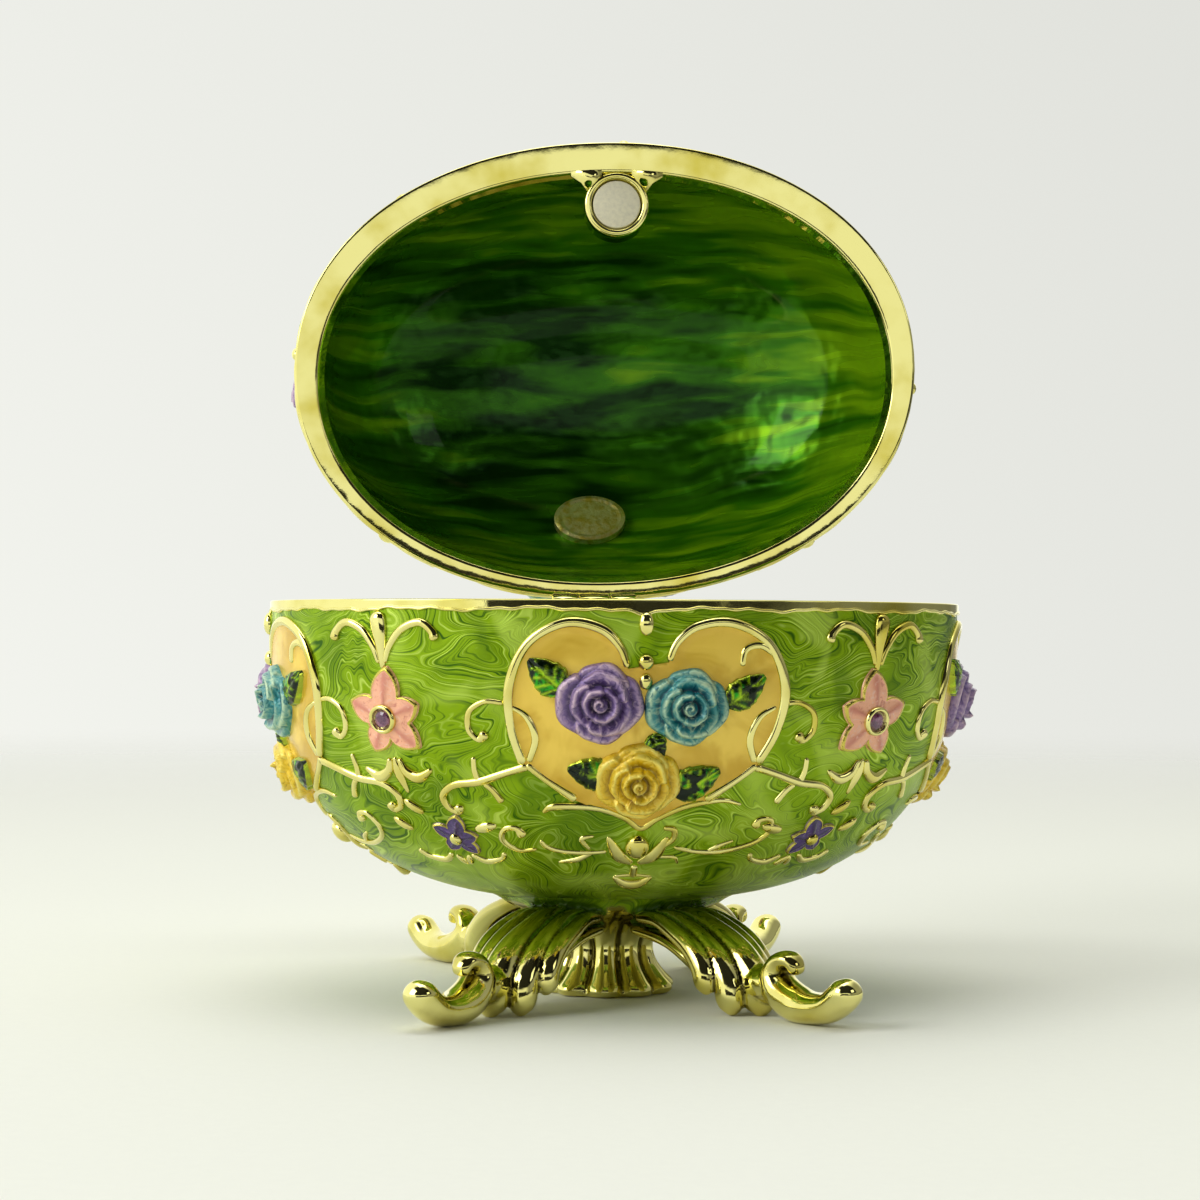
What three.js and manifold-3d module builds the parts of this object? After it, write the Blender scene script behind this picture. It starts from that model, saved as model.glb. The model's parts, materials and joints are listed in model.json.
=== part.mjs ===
// Jewelled egg trinket box: a cast and enamelled egg lying on a gold stand, its lid open on a hinge.
// Millimetres, +Z up. The floor is z = 0, the egg's long axis is X, and its front looks towards -Y.
import * as THREE from 'three';
import { mergeVertices } from 'three/addons/utils/BufferGeometryUtils.js';
import Module from 'manifold-3d';

const wasm = await Module();
wasm.setup();

// ---- driving dimensions -------------------------------------------------------------------------
const HALF_LENGTH = 33.0; // of the egg's outline in plan
const HALF_WIDTH = 24.2;
const PLAN_POWER = 2.09; // 2 is an ellipse, more is fuller
const RIM_Z = 37.4;
const BOWL_DEPTH = 28.5;
const BOWL_POWER = 2.75;
const BOWL_CUT = 27.8; // depth at which the bowl's underside is flat, on the stand
const LID_DEPTH = 22.5;
const LID_POWER = 2.5;
const WALL = 2.2;
const CAVITY_HALF_WIDTH = 22.0; // the mouth sits towards the hinge, so the front rim is the broad one
const CAVITY_SHIFT = 0.8;
const RIM_GAP = 0.3; // between the closed lid and the bowl
const GAP = 0.3; // round every set-in piece
const OVERCUT = 1.0; // how far a cutter runs past the surface it opens

const PATTERN_SHIFT = 2.6; // how far the ornament is turned, along the girth
const STAND_TURN = 3.8; // degrees

const KNUCKLE_RADIUS = 1.15;
const KNUCKLE_BORE = 0.75;
const PIN_RADIUS = 0.45;
const PIN_OVERHANG = 0.2; // beyond the knuckles at each end
const HINGE_STANDOFF = 0.9; // hinge axis outside the egg's outline
const HINGE_X = -2.0;
const LID_KNUCKLE_LENGTH = 3.2;
const BOWL_KNUCKLE_LENGTH = 2.6;
const OPEN_ANGLE = 90;

const MAGNET_RADIUS = 2.55;
const MAGNET_THICKNESS = 1.5;
const MAGNET_GIRTH = 1.9; // magnets, along the rim from the front's middle
const MAGNET_INSET = 6.5; // from the front edge to the magnet's centre
const MAGNET_RECESS = 0.15; // its face below the rim
const SOCKET_RADIUS = 3.5;
const SOCKET_HEIGHT = 3.4;

const PLAQUE_HALF = [4.0, 3.1]; // half axes of the oval
const PLAQUE_X = -1.7;
const PLAQUE_REACH = 0.69; // how far out on the cavity it sits, as a share of its half-width
const PLAQUE_LIFT = 0.85; // its back off the cavity's curve at its middle, so that its edge clears it
const PLAQUE_THICKNESS = 0.8;

const CRYSTAL_RADIUS = 0.95;
const CRYSTAL_TABLE = 0.6; // its flat top, as a share of its radius
const CRYSTAL_FOOT = 0.75; // heights above the egg's surface
const CRYSTAL_TOP = 1.4;
const BEZEL_RADIUS = 1.6;
const BEZEL_TOP = 1.15;
const FLOWER_RADIUS = 4.0;
const FLOWER_TOP = 0.45;
const SMALL_STAR_RADIUS = 2.0;
const SMALL_STAR_TOP = 0.5;
const CHAMFER = 0.3; // between the outlines of a star's foot and top
const ROSE_RADIUS = 3.8;
const ROSE_HEIGHT = 1.7;
const LEAF_LENGTH = 2.1; // from a leaf's middle to its point
const LEAF_BREADTH = 0.55; // as a share of its length
const LEAF_TOP = 0.25;

// wires: [half width, height of the crest]
const HEART_WIRE = [0.5, 0.75];
const BRANCH_WIRE = [0.5, 0.6];
const STEM_WIRE = [0.45, 0.6];

// facets
const SIDES = 36; // round the egg
const CAVITY_SIDES = 28;
const BOWL_ROWS = 8; // from the rim to the egg's end
const LID_ROWS = 7;
const CAVITY_ROWS = 5;
const DISC_SIDES = 14;
const BARREL_SIDES = 12;
const PIN_SIDES = 10;

// ---- solids -------------------------------------------------------------------------------------
const signedPower = (value, power) => Math.sign(value) * Math.abs(value) ** power;
const lerp = THREE.MathUtils.lerp;
const radians = THREE.MathUtils.degToRad;

function manifoldOf(points, triangles) {
  let volume = 0;
  const cross = new THREE.Vector3();
  for (const [a, b, c] of triangles) {
    volume += points[a].dot(cross.crossVectors(points[b], points[c]));
  }
  const order = volume < 0 ? [0, 2, 1] : [0, 1, 2];
  return new wasm.Manifold(new wasm.Mesh({
    numProp: 3,
    vertProperties: Float32Array.from(points.flatMap((p) => [p.x, p.y, p.z])),
    triVerts: Uint32Array.from(triangles.flatMap((t) => order.map((k) => t[k]))),
  }));
}

// a closed skin over rings of points, each end closed to its middle
function loft(rings) {
  const points = rings.flat();
  const count = rings[0].length;
  const triangles = [];
  for (let r = 0; r + 1 < rings.length; r += 1) {
    for (let i = 0; i < count; i += 1) {
      const a = r * count + i;
      const b = r * count + (i + 1) % count;
      triangles.push([a, b, b + count], [a, b + count, a + count]);
    }
  }
  for (const [ring, start] of [[rings[0], 0], [rings.at(-1), (rings.length - 1) * count]]) {
    const middle = ring.reduce((sum, p) => sum.add(p), new THREE.Vector3()).divideScalar(count);
    const centre = points.push(middle) - 1;
    for (let i = 0; i < count; i += 1) {
      const a = start + i;
      const b = start + (i + 1) % count;
      triangles.push(start === 0 ? [centre, b, a] : [centre, a, b]);
    }
  }
  return manifoldOf(points, triangles);
}

function manifoldFrom(geometry) {
  const bare = geometry.clone();
  bare.deleteAttribute('normal');
  bare.deleteAttribute('uv');
  const merged = mergeVertices(bare);
  return new wasm.Manifold(new wasm.Mesh({
    numProp: 3,
    vertProperties: Float32Array.from(merged.attributes.position.array),
    triVerts: Uint32Array.from(merged.index.array),
  }));
}

function geometryFrom(manifold) {
  const mesh = manifold.getMesh();
  const geometry = new THREE.BufferGeometry();
  geometry.setAttribute('position', new THREE.BufferAttribute(Float32Array.from(mesh.vertProperties), 3));
  geometry.setIndex(new THREE.BufferAttribute(Uint32Array.from(mesh.triVerts), 1));
  geometry.computeVertexNormals();
  return geometry;
}

// a cylinder between two points
function rod(from, to, radius, sides) {
  const axis = to.clone().sub(from);
  const geometry = new THREE.CylinderGeometry(radius, radius, axis.length(), sides);
  const turn = new THREE.Quaternion().setFromUnitVectors(new THREE.Vector3(0, 1, 0), axis.clone().normalize());
  const middle = from.clone().add(to).multiplyScalar(0.5);
  geometry.applyMatrix4(new THREE.Matrix4().compose(middle, turn, new THREE.Vector3(1, 1, 1)));
  return manifoldFrom(geometry);
}

// ---- the egg's surface --------------------------------------------------------------------------
// The girth runs in mm along the rim from the front's middle, towards +X.
const rimTable = (() => {
  const steps = 1440;
  const rows = [];
  let length = 0;
  let last = null;
  for (let i = 0; i <= steps; i += 1) {
    const angle = -Math.PI / 2 + (2 * Math.PI * i) / steps;
    const x = HALF_LENGTH * signedPower(Math.cos(angle), 2 / PLAN_POWER);
    const y = HALF_WIDTH * signedPower(Math.sin(angle), 2 / PLAN_POWER);
    if (last) length += Math.hypot(x - last.x, y - last.y);
    last = { x, y, length };
    rows.push(last);
  }
  return rows;
})();
const GIRTH = rimTable.at(-1).length;

function lookUp(table, key, value) {
  let low = 0;
  let high = table.length - 1;
  while (high - low > 1) {
    const middle = (low + high) >> 1;
    if (table[middle][key] <= value) low = middle;
    else high = middle;
  }
  const part = (value - table[low][key]) / (table[high][key] - table[low][key]);
  return { low: table[low], high: table[high], part };
}

function rimPoint(girth) {
  const { low, high, part } = lookUp(rimTable, 'length', ((girth % GIRTH) + GIRTH) % GIRTH);
  return [lerp(low.x, high.x, part), lerp(low.y, high.y, part)];
}

// One half of the egg: below the rim for the bowl, above it for the lid. The drop runs in mm from
// the rim along the surface, measured on a middling section of the egg.
class EggHalf {
  constructor(depth, power, rimZ, up) {
    Object.assign(this, { depth, power, rimZ, up });
    const middling = (HALF_LENGTH + HALF_WIDTH) / 2;
    const steps = 400;
    let length = 0;
    let last = null;
    this.table = [];
    for (let i = 0; i <= steps; i += 1) {
      const angle = (Math.PI / 2) * (i / steps);
      const scale = Math.max(Math.cos(angle), 0) ** (2 / power);
      const fall = depth * Math.sin(angle) ** (2 / power);
      if (last) length += Math.hypot((scale - last.scale) * middling, fall - last.fall);
      last = { scale, fall, length };
      this.table.push(last);
    }
  }

  scaleAt(fall) {
    return Math.max(1 - (fall / this.depth) ** this.power, 0) ** (1 / this.power);
  }

  on(girth, drop) {
    const { low, high, part } = lookUp(this.table, 'length', drop);
    const scale = lerp(low.scale, high.scale, part);
    const fall = lerp(low.fall, high.fall, part);
    const [x, y] = rimPoint(girth);
    return new THREE.Vector3(x * scale, y * scale, this.rimZ + this.up * fall);
  }

  // the point's place and its directions along the girth, down the drop and out of the surface
  frame(girth, drop) {
    const step = 0.2;
    const along = this.on(girth + step, drop).sub(this.on(girth - step, drop)).normalize();
    const down = this.on(girth, drop + step).sub(this.on(girth, Math.max(drop - step, 0)));
    down.addScaledVector(along, -down.dot(along)).normalize();
    const out = new THREE.Vector3().crossVectors(along, down).multiplyScalar(this.up);
    return { origin: this.on(girth, drop), along, down, out };
  }

  wrap(girth, drop, height) {
    const { origin, out } = this.frame(girth, drop);
    return origin.addScaledVector(out, height);
  }
}

const bowl = new EggHalf(BOWL_DEPTH, BOWL_POWER, RIM_Z, -1);
const lid = new EggHalf(LID_DEPTH, LID_POWER, RIM_Z + RIM_GAP, 1);

// rings of an egg-shaped solid, from falls below (or above) the rim
function eggRings(half, falls, sides, halfLength, halfWidth, shiftY) {
  return falls.map(([z, scale]) => Array.from({ length: sides }, (_, i) => {
    const [x, y] = rimPoint((GIRTH * i) / sides);
    return new THREE.Vector3(
      (x / HALF_LENGTH) * halfLength * scale,
      (y / HALF_WIDTH) * halfWidth * scale + shiftY * scale,
      half.rimZ + half.up * z,
    );
  }));
}

function outerSolid(half, lastFall, rows) {
  const lastAngle = Math.asin((lastFall / half.depth) ** (half.power / 2));
  const falls = Array.from({ length: rows + 1 }, (_, i) => {
    const fall = half.depth * Math.sin((lastAngle * i) / rows) ** (2 / half.power);
    return [fall, half.scaleAt(fall)];
  });
  return loft(eggRings(half, falls, SIDES, HALF_LENGTH, HALF_WIDTH, 0));
}

function cavitySolid(half, rows) {
  const depth = half.depth - WALL;
  const lastAngle = radians(83); // the cavity's end is a small flat
  const falls = Array.from({ length: rows + 1 }, (_, i) => {
    const angle = (lastAngle * i) / rows;
    return [depth * Math.sin(angle) ** (2 / half.power), Math.cos(angle) ** (2 / half.power)];
  });
  falls.unshift([-OVERCUT, 1]);
  const halfLength = HALF_LENGTH - WALL;
  return loft(eggRings(half, falls, CAVITY_SIDES, halfLength, CAVITY_HALF_WIDTH, CAVITY_SHIFT));
}

// ---- relief on the egg --------------------------------------------------------------------------
const ROOT = -0.5; // how deep the relief is rooted in the shell

// a raised wire with a sharp crest, through places given as [girth, drop]
function wire(half, centre, places, steps, [width, height], flip = 1) {
  const curve = new THREE.SplineCurve(places.map(([g, d]) => new THREE.Vector2(centre + flip * g, d)));
  const frames = curve.getSpacedPoints(steps).map((p) => half.frame(p.x, p.y));
  const rings = frames.map(({ origin, out }, i) => {
    const before = frames[Math.max(i - 1, 0)].origin;
    const after = frames[Math.min(i + 1, steps)].origin;
    const side = after.clone().sub(before).normalize().cross(out).normalize();
    const taper = i === 0 || i === steps ? 0.6 : 1;
    return [
      origin.clone().addScaledVector(side, width * taper).addScaledVector(out, ROOT),
      origin.clone().addScaledVector(side, -width * taper).addScaledVector(out, ROOT),
      origin.clone().addScaledVector(out, height * taper),
    ];
  });
  return loft(rings);
}

// a boss built up of rings, each [radius, height]; reach(angle) shapes its outline
function boss(half, girth, drop, rings, sides, reach = () => 1) {
  const { origin, along, down, out } = half.frame(girth, drop);
  return loft(rings.map(([radius, height]) => Array.from({ length: sides }, (_, i) => {
    const angle = (2 * Math.PI * i) / sides;
    const r = radius * reach(angle);
    return origin.clone()
      .addScaledVector(along, r * Math.cos(angle))
      .addScaledVector(down, r * Math.sin(angle))
      .addScaledVector(out, height);
  })));
}

// a six-sided mound: upright to its shoulder, then drawn in to a small flat top
const rose = (half, girth, drop, size) => boss(half, girth, drop, [
  [ROSE_RADIUS * size, ROOT],
  [ROSE_RADIUS * size * 0.96, ROSE_HEIGHT * 0.55],
  [ROSE_RADIUS * size * 0.42, ROSE_HEIGHT],
], 6);

// a lozenge with its long axis at an angle from the girth
function leaf(half, girth, drop, angle) {
  const { origin, along, down, out } = half.frame(girth, drop);
  const levels = [[LEAF_LENGTH, ROOT], [LEAF_LENGTH * 0.9, LEAF_TOP]];
  const rings = levels.map(([radius, height]) => [0, 1, 2, 3].map((i) => {
    const a = angle + (Math.PI / 2) * i;
    const r = radius * (i % 2 ? LEAF_BREADTH : 1);
    return origin.clone()
      .addScaledVector(along, r * Math.cos(a))
      .addScaledVector(down, r * Math.sin(a))
      .addScaledVector(out, height);
  }));
  return loft(rings);
}

// five petals: the outline swings between tip and notch
const petals = (turn) => (angle) => 0.7 + 0.3 * Math.cos(5 * (angle - turn));

function starFlower(half, girth, drop) {
  const up = radians(-90);
  const levels = [[FLOWER_RADIUS, ROOT], [FLOWER_RADIUS - CHAMFER, FLOWER_TOP]];
  const star = boss(half, girth, drop, levels, 10, petals(up));
  const bezel = boss(half, girth, drop, [[BEZEL_RADIUS, ROOT], [BEZEL_RADIUS, BEZEL_TOP]], 6);
  const room = CRYSTAL_RADIUS + GAP;
  const pocket = boss(half, girth, drop, [[room, CRYSTAL_FOOT - GAP], [room, BEZEL_TOP + OVERCUT]], 6);
  return star.add(bezel).subtract(pocket);
}

const smallStar = (half, girth, drop) => boss(half, girth, drop, [
  [SMALL_STAR_RADIUS, ROOT],
  [SMALL_STAR_RADIUS - CHAMFER, SMALL_STAR_TOP],
], 5);

// The ornament's places are [girth from the medallion's middle, drop].
const HEART_LOBE = [[1.8, 6.0], [3.6, 2.9], [7.4, 2.1], [11.2, 4.4], [12.5, 8.6], [11.8, 12.4], [10.5, 14.9]];
const BRANCH = [[11.2, 14.6], [17.0, 17.2]];
const STEM_CURL = [[0, 6.0], [2.3, 3.0], [4.6, 2.6], [5.6, 4.2]];
const ROSES = [[-3.9, 9.1, 1.0], [3.9, 9.4, 0.96], [-0.3, 16.1, 1.0]];
const LEAVES = [[-9.2, 7.2, 0.9], [9.3, 8.0, -1.1], [-5.7, 15.6, 0.4], [5.6, 16.2, -0.7]];
const FLOWER_DROP = 10.7;
const FLOWER_OFFSET = 23.5; // of a star flower from the front or back medallion
const FLOWER_SHIFT = -0.9; // the star flowers sit a little askew of the medallions, as cast
const SMALL_STAR_PLACE = [20.6, 22.6];

function bowlMedallion(centre) {
  const parts = [1, -1].flatMap((flip) => [
    wire(bowl, centre, HEART_LOBE, 5, HEART_WIRE, flip),
    wire(bowl, centre, BRANCH, 1, BRANCH_WIRE, flip),
  ]);
  for (const [g, d, size] of ROSES) parts.push(rose(bowl, centre + g, d, size));
  for (const [g, d, angle] of LEAVES) parts.push(leaf(bowl, centre + g, d, angle));
  return parts;
}

const lidMedallion = (centre) => ROSES.map(([g, d, size]) => rose(lid, centre + g, d, size));

const MEDALLIONS = [0, 1, 2, 3].map((i) => PATTERN_SHIFT + (GIRTH * i) / 4);
const FLOWERS = [0, 2].flatMap((i) => [-1, 1].map((side) => MEDALLIONS[i] + FLOWER_SHIFT + side * FLOWER_OFFSET));

function bowlRelief() {
  const parts = MEDALLIONS.flatMap(bowlMedallion);
  for (const girth of FLOWERS) {
    parts.push(starFlower(bowl, girth, FLOWER_DROP));
    for (const flip of [1, -1]) parts.push(wire(bowl, girth, STEM_CURL, 3, STEM_WIRE, flip));
  }
  for (const i of [0, 2]) {
    for (const side of [-1, 1]) {
      const [g, d] = SMALL_STAR_PLACE;
      parts.push(smallStar(bowl, MEDALLIONS[i] + side * g, d));
    }
  }
  return parts;
}

const lidRelief = () => [
  ...MEDALLIONS.flatMap(lidMedallion),
  ...FLOWERS.map((girth) => starFlower(lid, girth, FLOWER_DROP)),
];

function crystal(half, girth) {
  const rings = [[CRYSTAL_RADIUS, CRYSTAL_FOOT], [CRYSTAL_RADIUS * CRYSTAL_TABLE, CRYSTAL_TOP]];
  return boss(half, girth, FLOWER_DROP, rings, 6);
}

// ---- hinge and magnets --------------------------------------------------------------------------
// The hinge axis is tangent to the outline at its own station, so it leans a little from X.
const hingeGirth = GIRTH / 2 - HINGE_X;
const hingeFrame = bowl.frame(hingeGirth, 0);
const hingeAlong = hingeFrame.along.clone().negate().setZ(0).normalize(); // towards +X
const hingeOut = new THREE.Vector3(-hingeAlong.y, hingeAlong.x, 0); // away from the egg
const hingeCentre = hingeFrame.origin.clone().addScaledVector(hingeOut, HINGE_STANDOFF)
  .setZ(RIM_Z + RIM_GAP / 2);
const hingeAt = (along, out, z) => hingeCentre.clone()
  .addScaledVector(hingeAlong, along).addScaledVector(hingeOut, out).add(new THREE.Vector3(0, 0, z));

const HINGE_HALF = LID_KNUCKLE_LENGTH / 2 + GAP + BOWL_KNUCKLE_LENGTH;

// one knuckle with the lug that ties it to the wall: below the axis for the bowl, above for the lid
function knuckle(start, end, side) {
  const barrel = rod(hingeAt(start, 0, 0), hingeAt(end, 0, 0), KNUCKLE_RADIUS, BARREL_SIDES);
  const lug = loft([start, end].map((s) => [
    hingeAt(s, -0.2, 0.75 * side),
    hingeAt(s, -0.75, 0.25 * side),
    hingeAt(s, -2.0, 0.6 * side),
    hingeAt(s, -2.0, 3.2 * side),
    hingeAt(s, -1.1, 3.2 * side),
    hingeAt(s, -0.5, 2.2 * side),
  ]));
  return barrel.add(lug);
}

// a rod along the hinge axis, as far on one side of its middle as on the other
const hingeRod = (half, radius, sides) => rod(hingeAt(-half, 0, 0), hingeAt(half, 0, 0), radius, sides);
const hingeRoom = hingeRod(HINGE_HALF + GAP, KNUCKLE_RADIUS + GAP, BARREL_SIDES);
const hingeBore = hingeRod(HINGE_HALF + 2 * OVERCUT, KNUCKLE_BORE, BARREL_SIDES);

function magnetPoint(half, depth) {
  const { origin, out } = half.frame(MAGNET_GIRTH, 0);
  const inward = out.clone().setZ(0).normalize().negate();
  return origin.clone().addScaledVector(inward, MAGNET_INSET).setZ(half.rimZ + half.up * depth);
}
const socket = (half) => rod(magnetPoint(half, 0), magnetPoint(half, SOCKET_HEIGHT), SOCKET_RADIUS, DISC_SIDES);
const socketPocket = (half) => rod(
  magnetPoint(half, -OVERCUT), magnetPoint(half, MAGNET_THICKNESS + 2 * GAP), MAGNET_RADIUS + GAP, DISC_SIDES,
);
const magnet = (half) => rod(
  magnetPoint(half, MAGNET_RECESS), magnetPoint(half, MAGNET_RECESS + MAGNET_THICKNESS), MAGNET_RADIUS, DISC_SIDES,
);

function join(first, others) {
  return others.reduce((sum, part) => sum.add(part), first);
}

function bowlShell() {
  const inner = LID_KNUCKLE_LENGTH / 2 + GAP;
  const knuckles = [
    knuckle(-HINGE_HALF, -inner, -1),
    knuckle(inner, HINGE_HALF, -1),
  ];
  const shell = join(outerSolid(bowl, BOWL_CUT, BOWL_ROWS), bowlRelief())
    .subtract(cavitySolid(bowl, CAVITY_ROWS));
  return join(shell.add(socket(bowl)).subtract(socketPocket(bowl)).subtract(hingeRoom), knuckles)
    .subtract(hingeBore);
}

function lidShell() {
  const inner = LID_KNUCKLE_LENGTH / 2;
  const shell = join(outerSolid(lid, LID_DEPTH * 0.9995, LID_ROWS), lidRelief())
    .subtract(cavitySolid(lid, CAVITY_ROWS));
  return shell.add(socket(lid)).subtract(socketPocket(lid)).subtract(hingeRoom)
    .add(knuckle(-inner, inner, 1)).subtract(hingeBore);
}

// the oval plaque lies on the cavity's surface, on the hinge side
function plaque() {
  const depth = LID_DEPTH - WALL;
  const z = (r) => depth * (1 - r ** LID_POWER) ** (1 / LID_POWER);
  const place = (r) => new THREE.Vector3(PLAQUE_X, (CAVITY_HALF_WIDTH + CAVITY_SHIFT) * r, lid.rimZ + z(r));
  const up = place(PLAQUE_REACH - 0.02).sub(place(PLAQUE_REACH + 0.02)).normalize();
  const across = new THREE.Vector3(1, 0, 0);
  const inward = new THREE.Vector3().crossVectors(up, across).normalize();
  if (inward.z > 0) inward.negate();
  const rings = [[1, PLAQUE_LIFT], [0.9, PLAQUE_LIFT + PLAQUE_THICKNESS]];
  return loft(rings.map(([scale, height]) => Array.from({ length: DISC_SIDES }, (_, i) => {
    const angle = (2 * Math.PI * i) / DISC_SIDES;
    return place(PLAQUE_REACH)
      .addScaledVector(across, PLAQUE_HALF[0] * scale * Math.cos(angle))
      .addScaledVector(up, PLAQUE_HALF[1] * scale * Math.sin(angle))
      .addScaledVector(inward, height);
  })));
}

// ---- stand --------------------------------------------------------------------------------------
const STAND_TOP = RIM_Z - BOWL_CUT - GAP;
const LEG_AZIMUTH = 55; // degrees from X
const COLUMN = [ // [radius in X, radius in Y, height, depth of the flutes]
  [5.7, 5.7, 0.0, 0.5],
  [5.9, 5.9, 0.8, 0.6],
  [4.8, 4.8, 2.3, 0.45],
  [4.2, 4.2, 3.8, 0.35],
  [4.9, 4.6, 6.0, 0.3],
  [8.2, 7.0, 7.9, 0.2],
  [10.9, 8.6, 8.9, 0.0],
  [12.2, 9.6, STAND_TOP, 0.0],
];

function column() {
  const sides = 16;
  return loft(COLUMN.map(([rx, ry, z, flute]) => Array.from({ length: sides }, (_, i) => {
    const angle = (2 * Math.PI * i) / sides;
    const cut = flute * (i % 2);
    return new THREE.Vector3((rx - cut) * Math.cos(angle), (ry - cut) * Math.sin(angle), z);
  })));
}

const LEG_ROOT = 7.5; // distance out at which the lobes leave the column
const LOBE_ROOT_RADIUS = 1.2;
const LOBE_SHOULDER_RADIUS = 1.7;
const LOBE_TIP = 0.45; // radius of its end, as a share of the lobe's
// The leg's shoulder is a bunch of draped lobes: [distance out, sideways, radius, height of its end].
const LOBES = [
  [20.7, 0.0, 1.9, 0.2],
  [18.4, 2.4, 1.8, 0.9],
  [18.4, -2.4, 1.8, 0.9],
];

// stations of the scroll toe, from the eye of its volute to the bulb: [distance out, height, radius]
const TOE = [
  [26.0, 3.9, 0.6],
  [25.9, 4.9, 0.9],
  [24.6, 5.0, 1.1],
  [23.6, 3.6, 1.5],
  [24.9, 1.9, 1.9],
  [28.0, 1.38, 1.6],
  [31.0, 1.75, 1.4],
  [33.0, 3.2, 1.5],
  [33.7, 4.2, 1.0],
];
const CASTING_BREADTH = 1.15; // of lobes and toes, as a share of their height

// a tube through places given as points, each ring lying across the path; the radii go with them
function tube(places, radii, steps, side) {
  const sides = 6;
  const path = new THREE.CatmullRomCurve3(places);
  return loft(Array.from({ length: steps + 1 }, (_, i) => {
    const station = (i / steps) * (places.length - 1);
    const low = Math.min(Math.floor(station), places.length - 2);
    const radius = lerp(radii[low], radii[low + 1], station - low);
    const face = new THREE.Vector3().crossVectors(side, path.getTangent(i / steps)).normalize();
    return Array.from({ length: sides }, (_, k) => {
      const a = (2 * Math.PI * (k + 0.5)) / sides;
      return path.getPoint(i / steps)
        .addScaledVector(side, CASTING_BREADTH * radius * Math.cos(a))
        .addScaledVector(face, radius * Math.sin(a));
    });
  }));
}

function leg(azimuth) {
  const angle = radians(azimuth + STAND_TURN);
  const out = new THREE.Vector3(Math.cos(angle), Math.sin(angle), 0);
  const side = new THREE.Vector3(-out.y, out.x, 0);
  const at = (distance, sideways, height) => out.clone().multiplyScalar(distance)
    .addScaledVector(side, sideways).setZ(height);
  const lobes = LOBES.map(([distance, sideways, radius, end]) => {
    const places = [
      at(LEG_ROOT, sideways * 0.6, STAND_TOP - 1.6),
      at(lerp(LEG_ROOT, distance, 0.5), sideways * 0.9, STAND_TOP - 2.1),
      at(distance - radius * 0.4, sideways, lerp(end, STAND_TOP, 0.55)),
      at(distance, sideways, end + radius * 0.8),
      at(distance - radius * 0.2, sideways, end),
    ];
    return tube(places, [LOBE_ROOT_RADIUS, LOBE_SHOULDER_RADIUS, radius, radius, radius * LOBE_TIP], 4, side);
  });
  const toe = tube(TOE.map(([distance, height]) => at(distance, 0, height)), TOE.map((station) => station[2]),
    TOE.length - 1, side);
  return join(toe, lobes);
}

function stand() {
  const legs = [LEG_AZIMUTH, 180 - LEG_AZIMUTH, 180 + LEG_AZIMUTH, -LEG_AZIMUTH].map(leg);
  const whole = join(column(), legs);
  const block = new THREE.BoxGeometry(4 * HALF_LENGTH, 4 * HALF_LENGTH, STAND_TOP);
  const below = manifoldFrom(block.clone().translate(0, 0, -STAND_TOP / 2));
  const above = manifoldFrom(block.clone().translate(0, 0, STAND_TOP * 1.5));
  return whole.subtract(below).subtract(above);
}

// ---- materials ----------------------------------------------------------------------------------
const paint = (color, roughness, metalness) => new THREE.MeshStandardMaterial({ color, roughness, metalness });
const enamel = paint('#7da23c', 0.25, 0.1);
const gold = paint('#d6cf68', 0.15, 1.0);
const steel = paint('#c9c5a8', 0.45, 0.6);
const gem = paint('#a06ab0', 0.05, 0.0);

// ---- the box ------------------------------------------------------------------------------------
function named(name, manifold, material) {
  const mesh = new THREE.Mesh(geometryFrom(manifold), material);
  mesh.name = name;
  return mesh;
}

const box = new THREE.Group();
box.add(named('bowl_shell', bowlShell(), enamel));
box.add(named('foot_stand', stand(), gold));
box.add(named('bowl_magnet', magnet(bowl), steel));
box.add(named('hinge_pin', hingeRod(HINGE_HALF + PIN_OVERHANG, PIN_RADIUS, PIN_SIDES), gold));
FLOWERS.forEach((girth, i) => box.add(named(`crystal_bowl_${i + 1}`, crystal(bowl, girth), gem)));

// The lid is modelled closed, about the hinge axis, and its group turns it open.
const closedLid = [
  named('lid_shell', lidShell(), enamel),
  named('lid_magnet', magnet(lid), steel),
  named('lid_plaque', plaque(), gold),
  ...FLOWERS.map((girth, i) => named(`crystal_lid_${i + 1}`, crystal(lid, girth), gem)),
];
const lidGroup = new THREE.Group();
for (const mesh of closedLid) {
  mesh.geometry.translate(-hingeCentre.x, -hingeCentre.y, -hingeCentre.z);
  lidGroup.add(mesh);
}
lidGroup.position.copy(hingeCentre);
lidGroup.quaternion.setFromAxisAngle(hingeAlong.clone().negate(), radians(OPEN_ANGLE));
box.add(lidGroup);

export default box;
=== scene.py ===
"""Jewelled egg trinket box: a cast, gold-plated and enamelled egg lying on a scroll-footed stand.

Lengths are in millimetres in the settings and the pattern, and in metres in the meshes. The egg lies
along X, its front looks towards -Y, and its lid stands open on a hinge at the back.
"""

import json
import math

import bmesh
import bpy
import numpy as np
from bpy.props import FloatProperty, FloatVectorProperty, IntProperty, PointerProperty
from mathutils import Matrix, Vector
from mathutils.geometry import delaunay_2d_cdt

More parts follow.
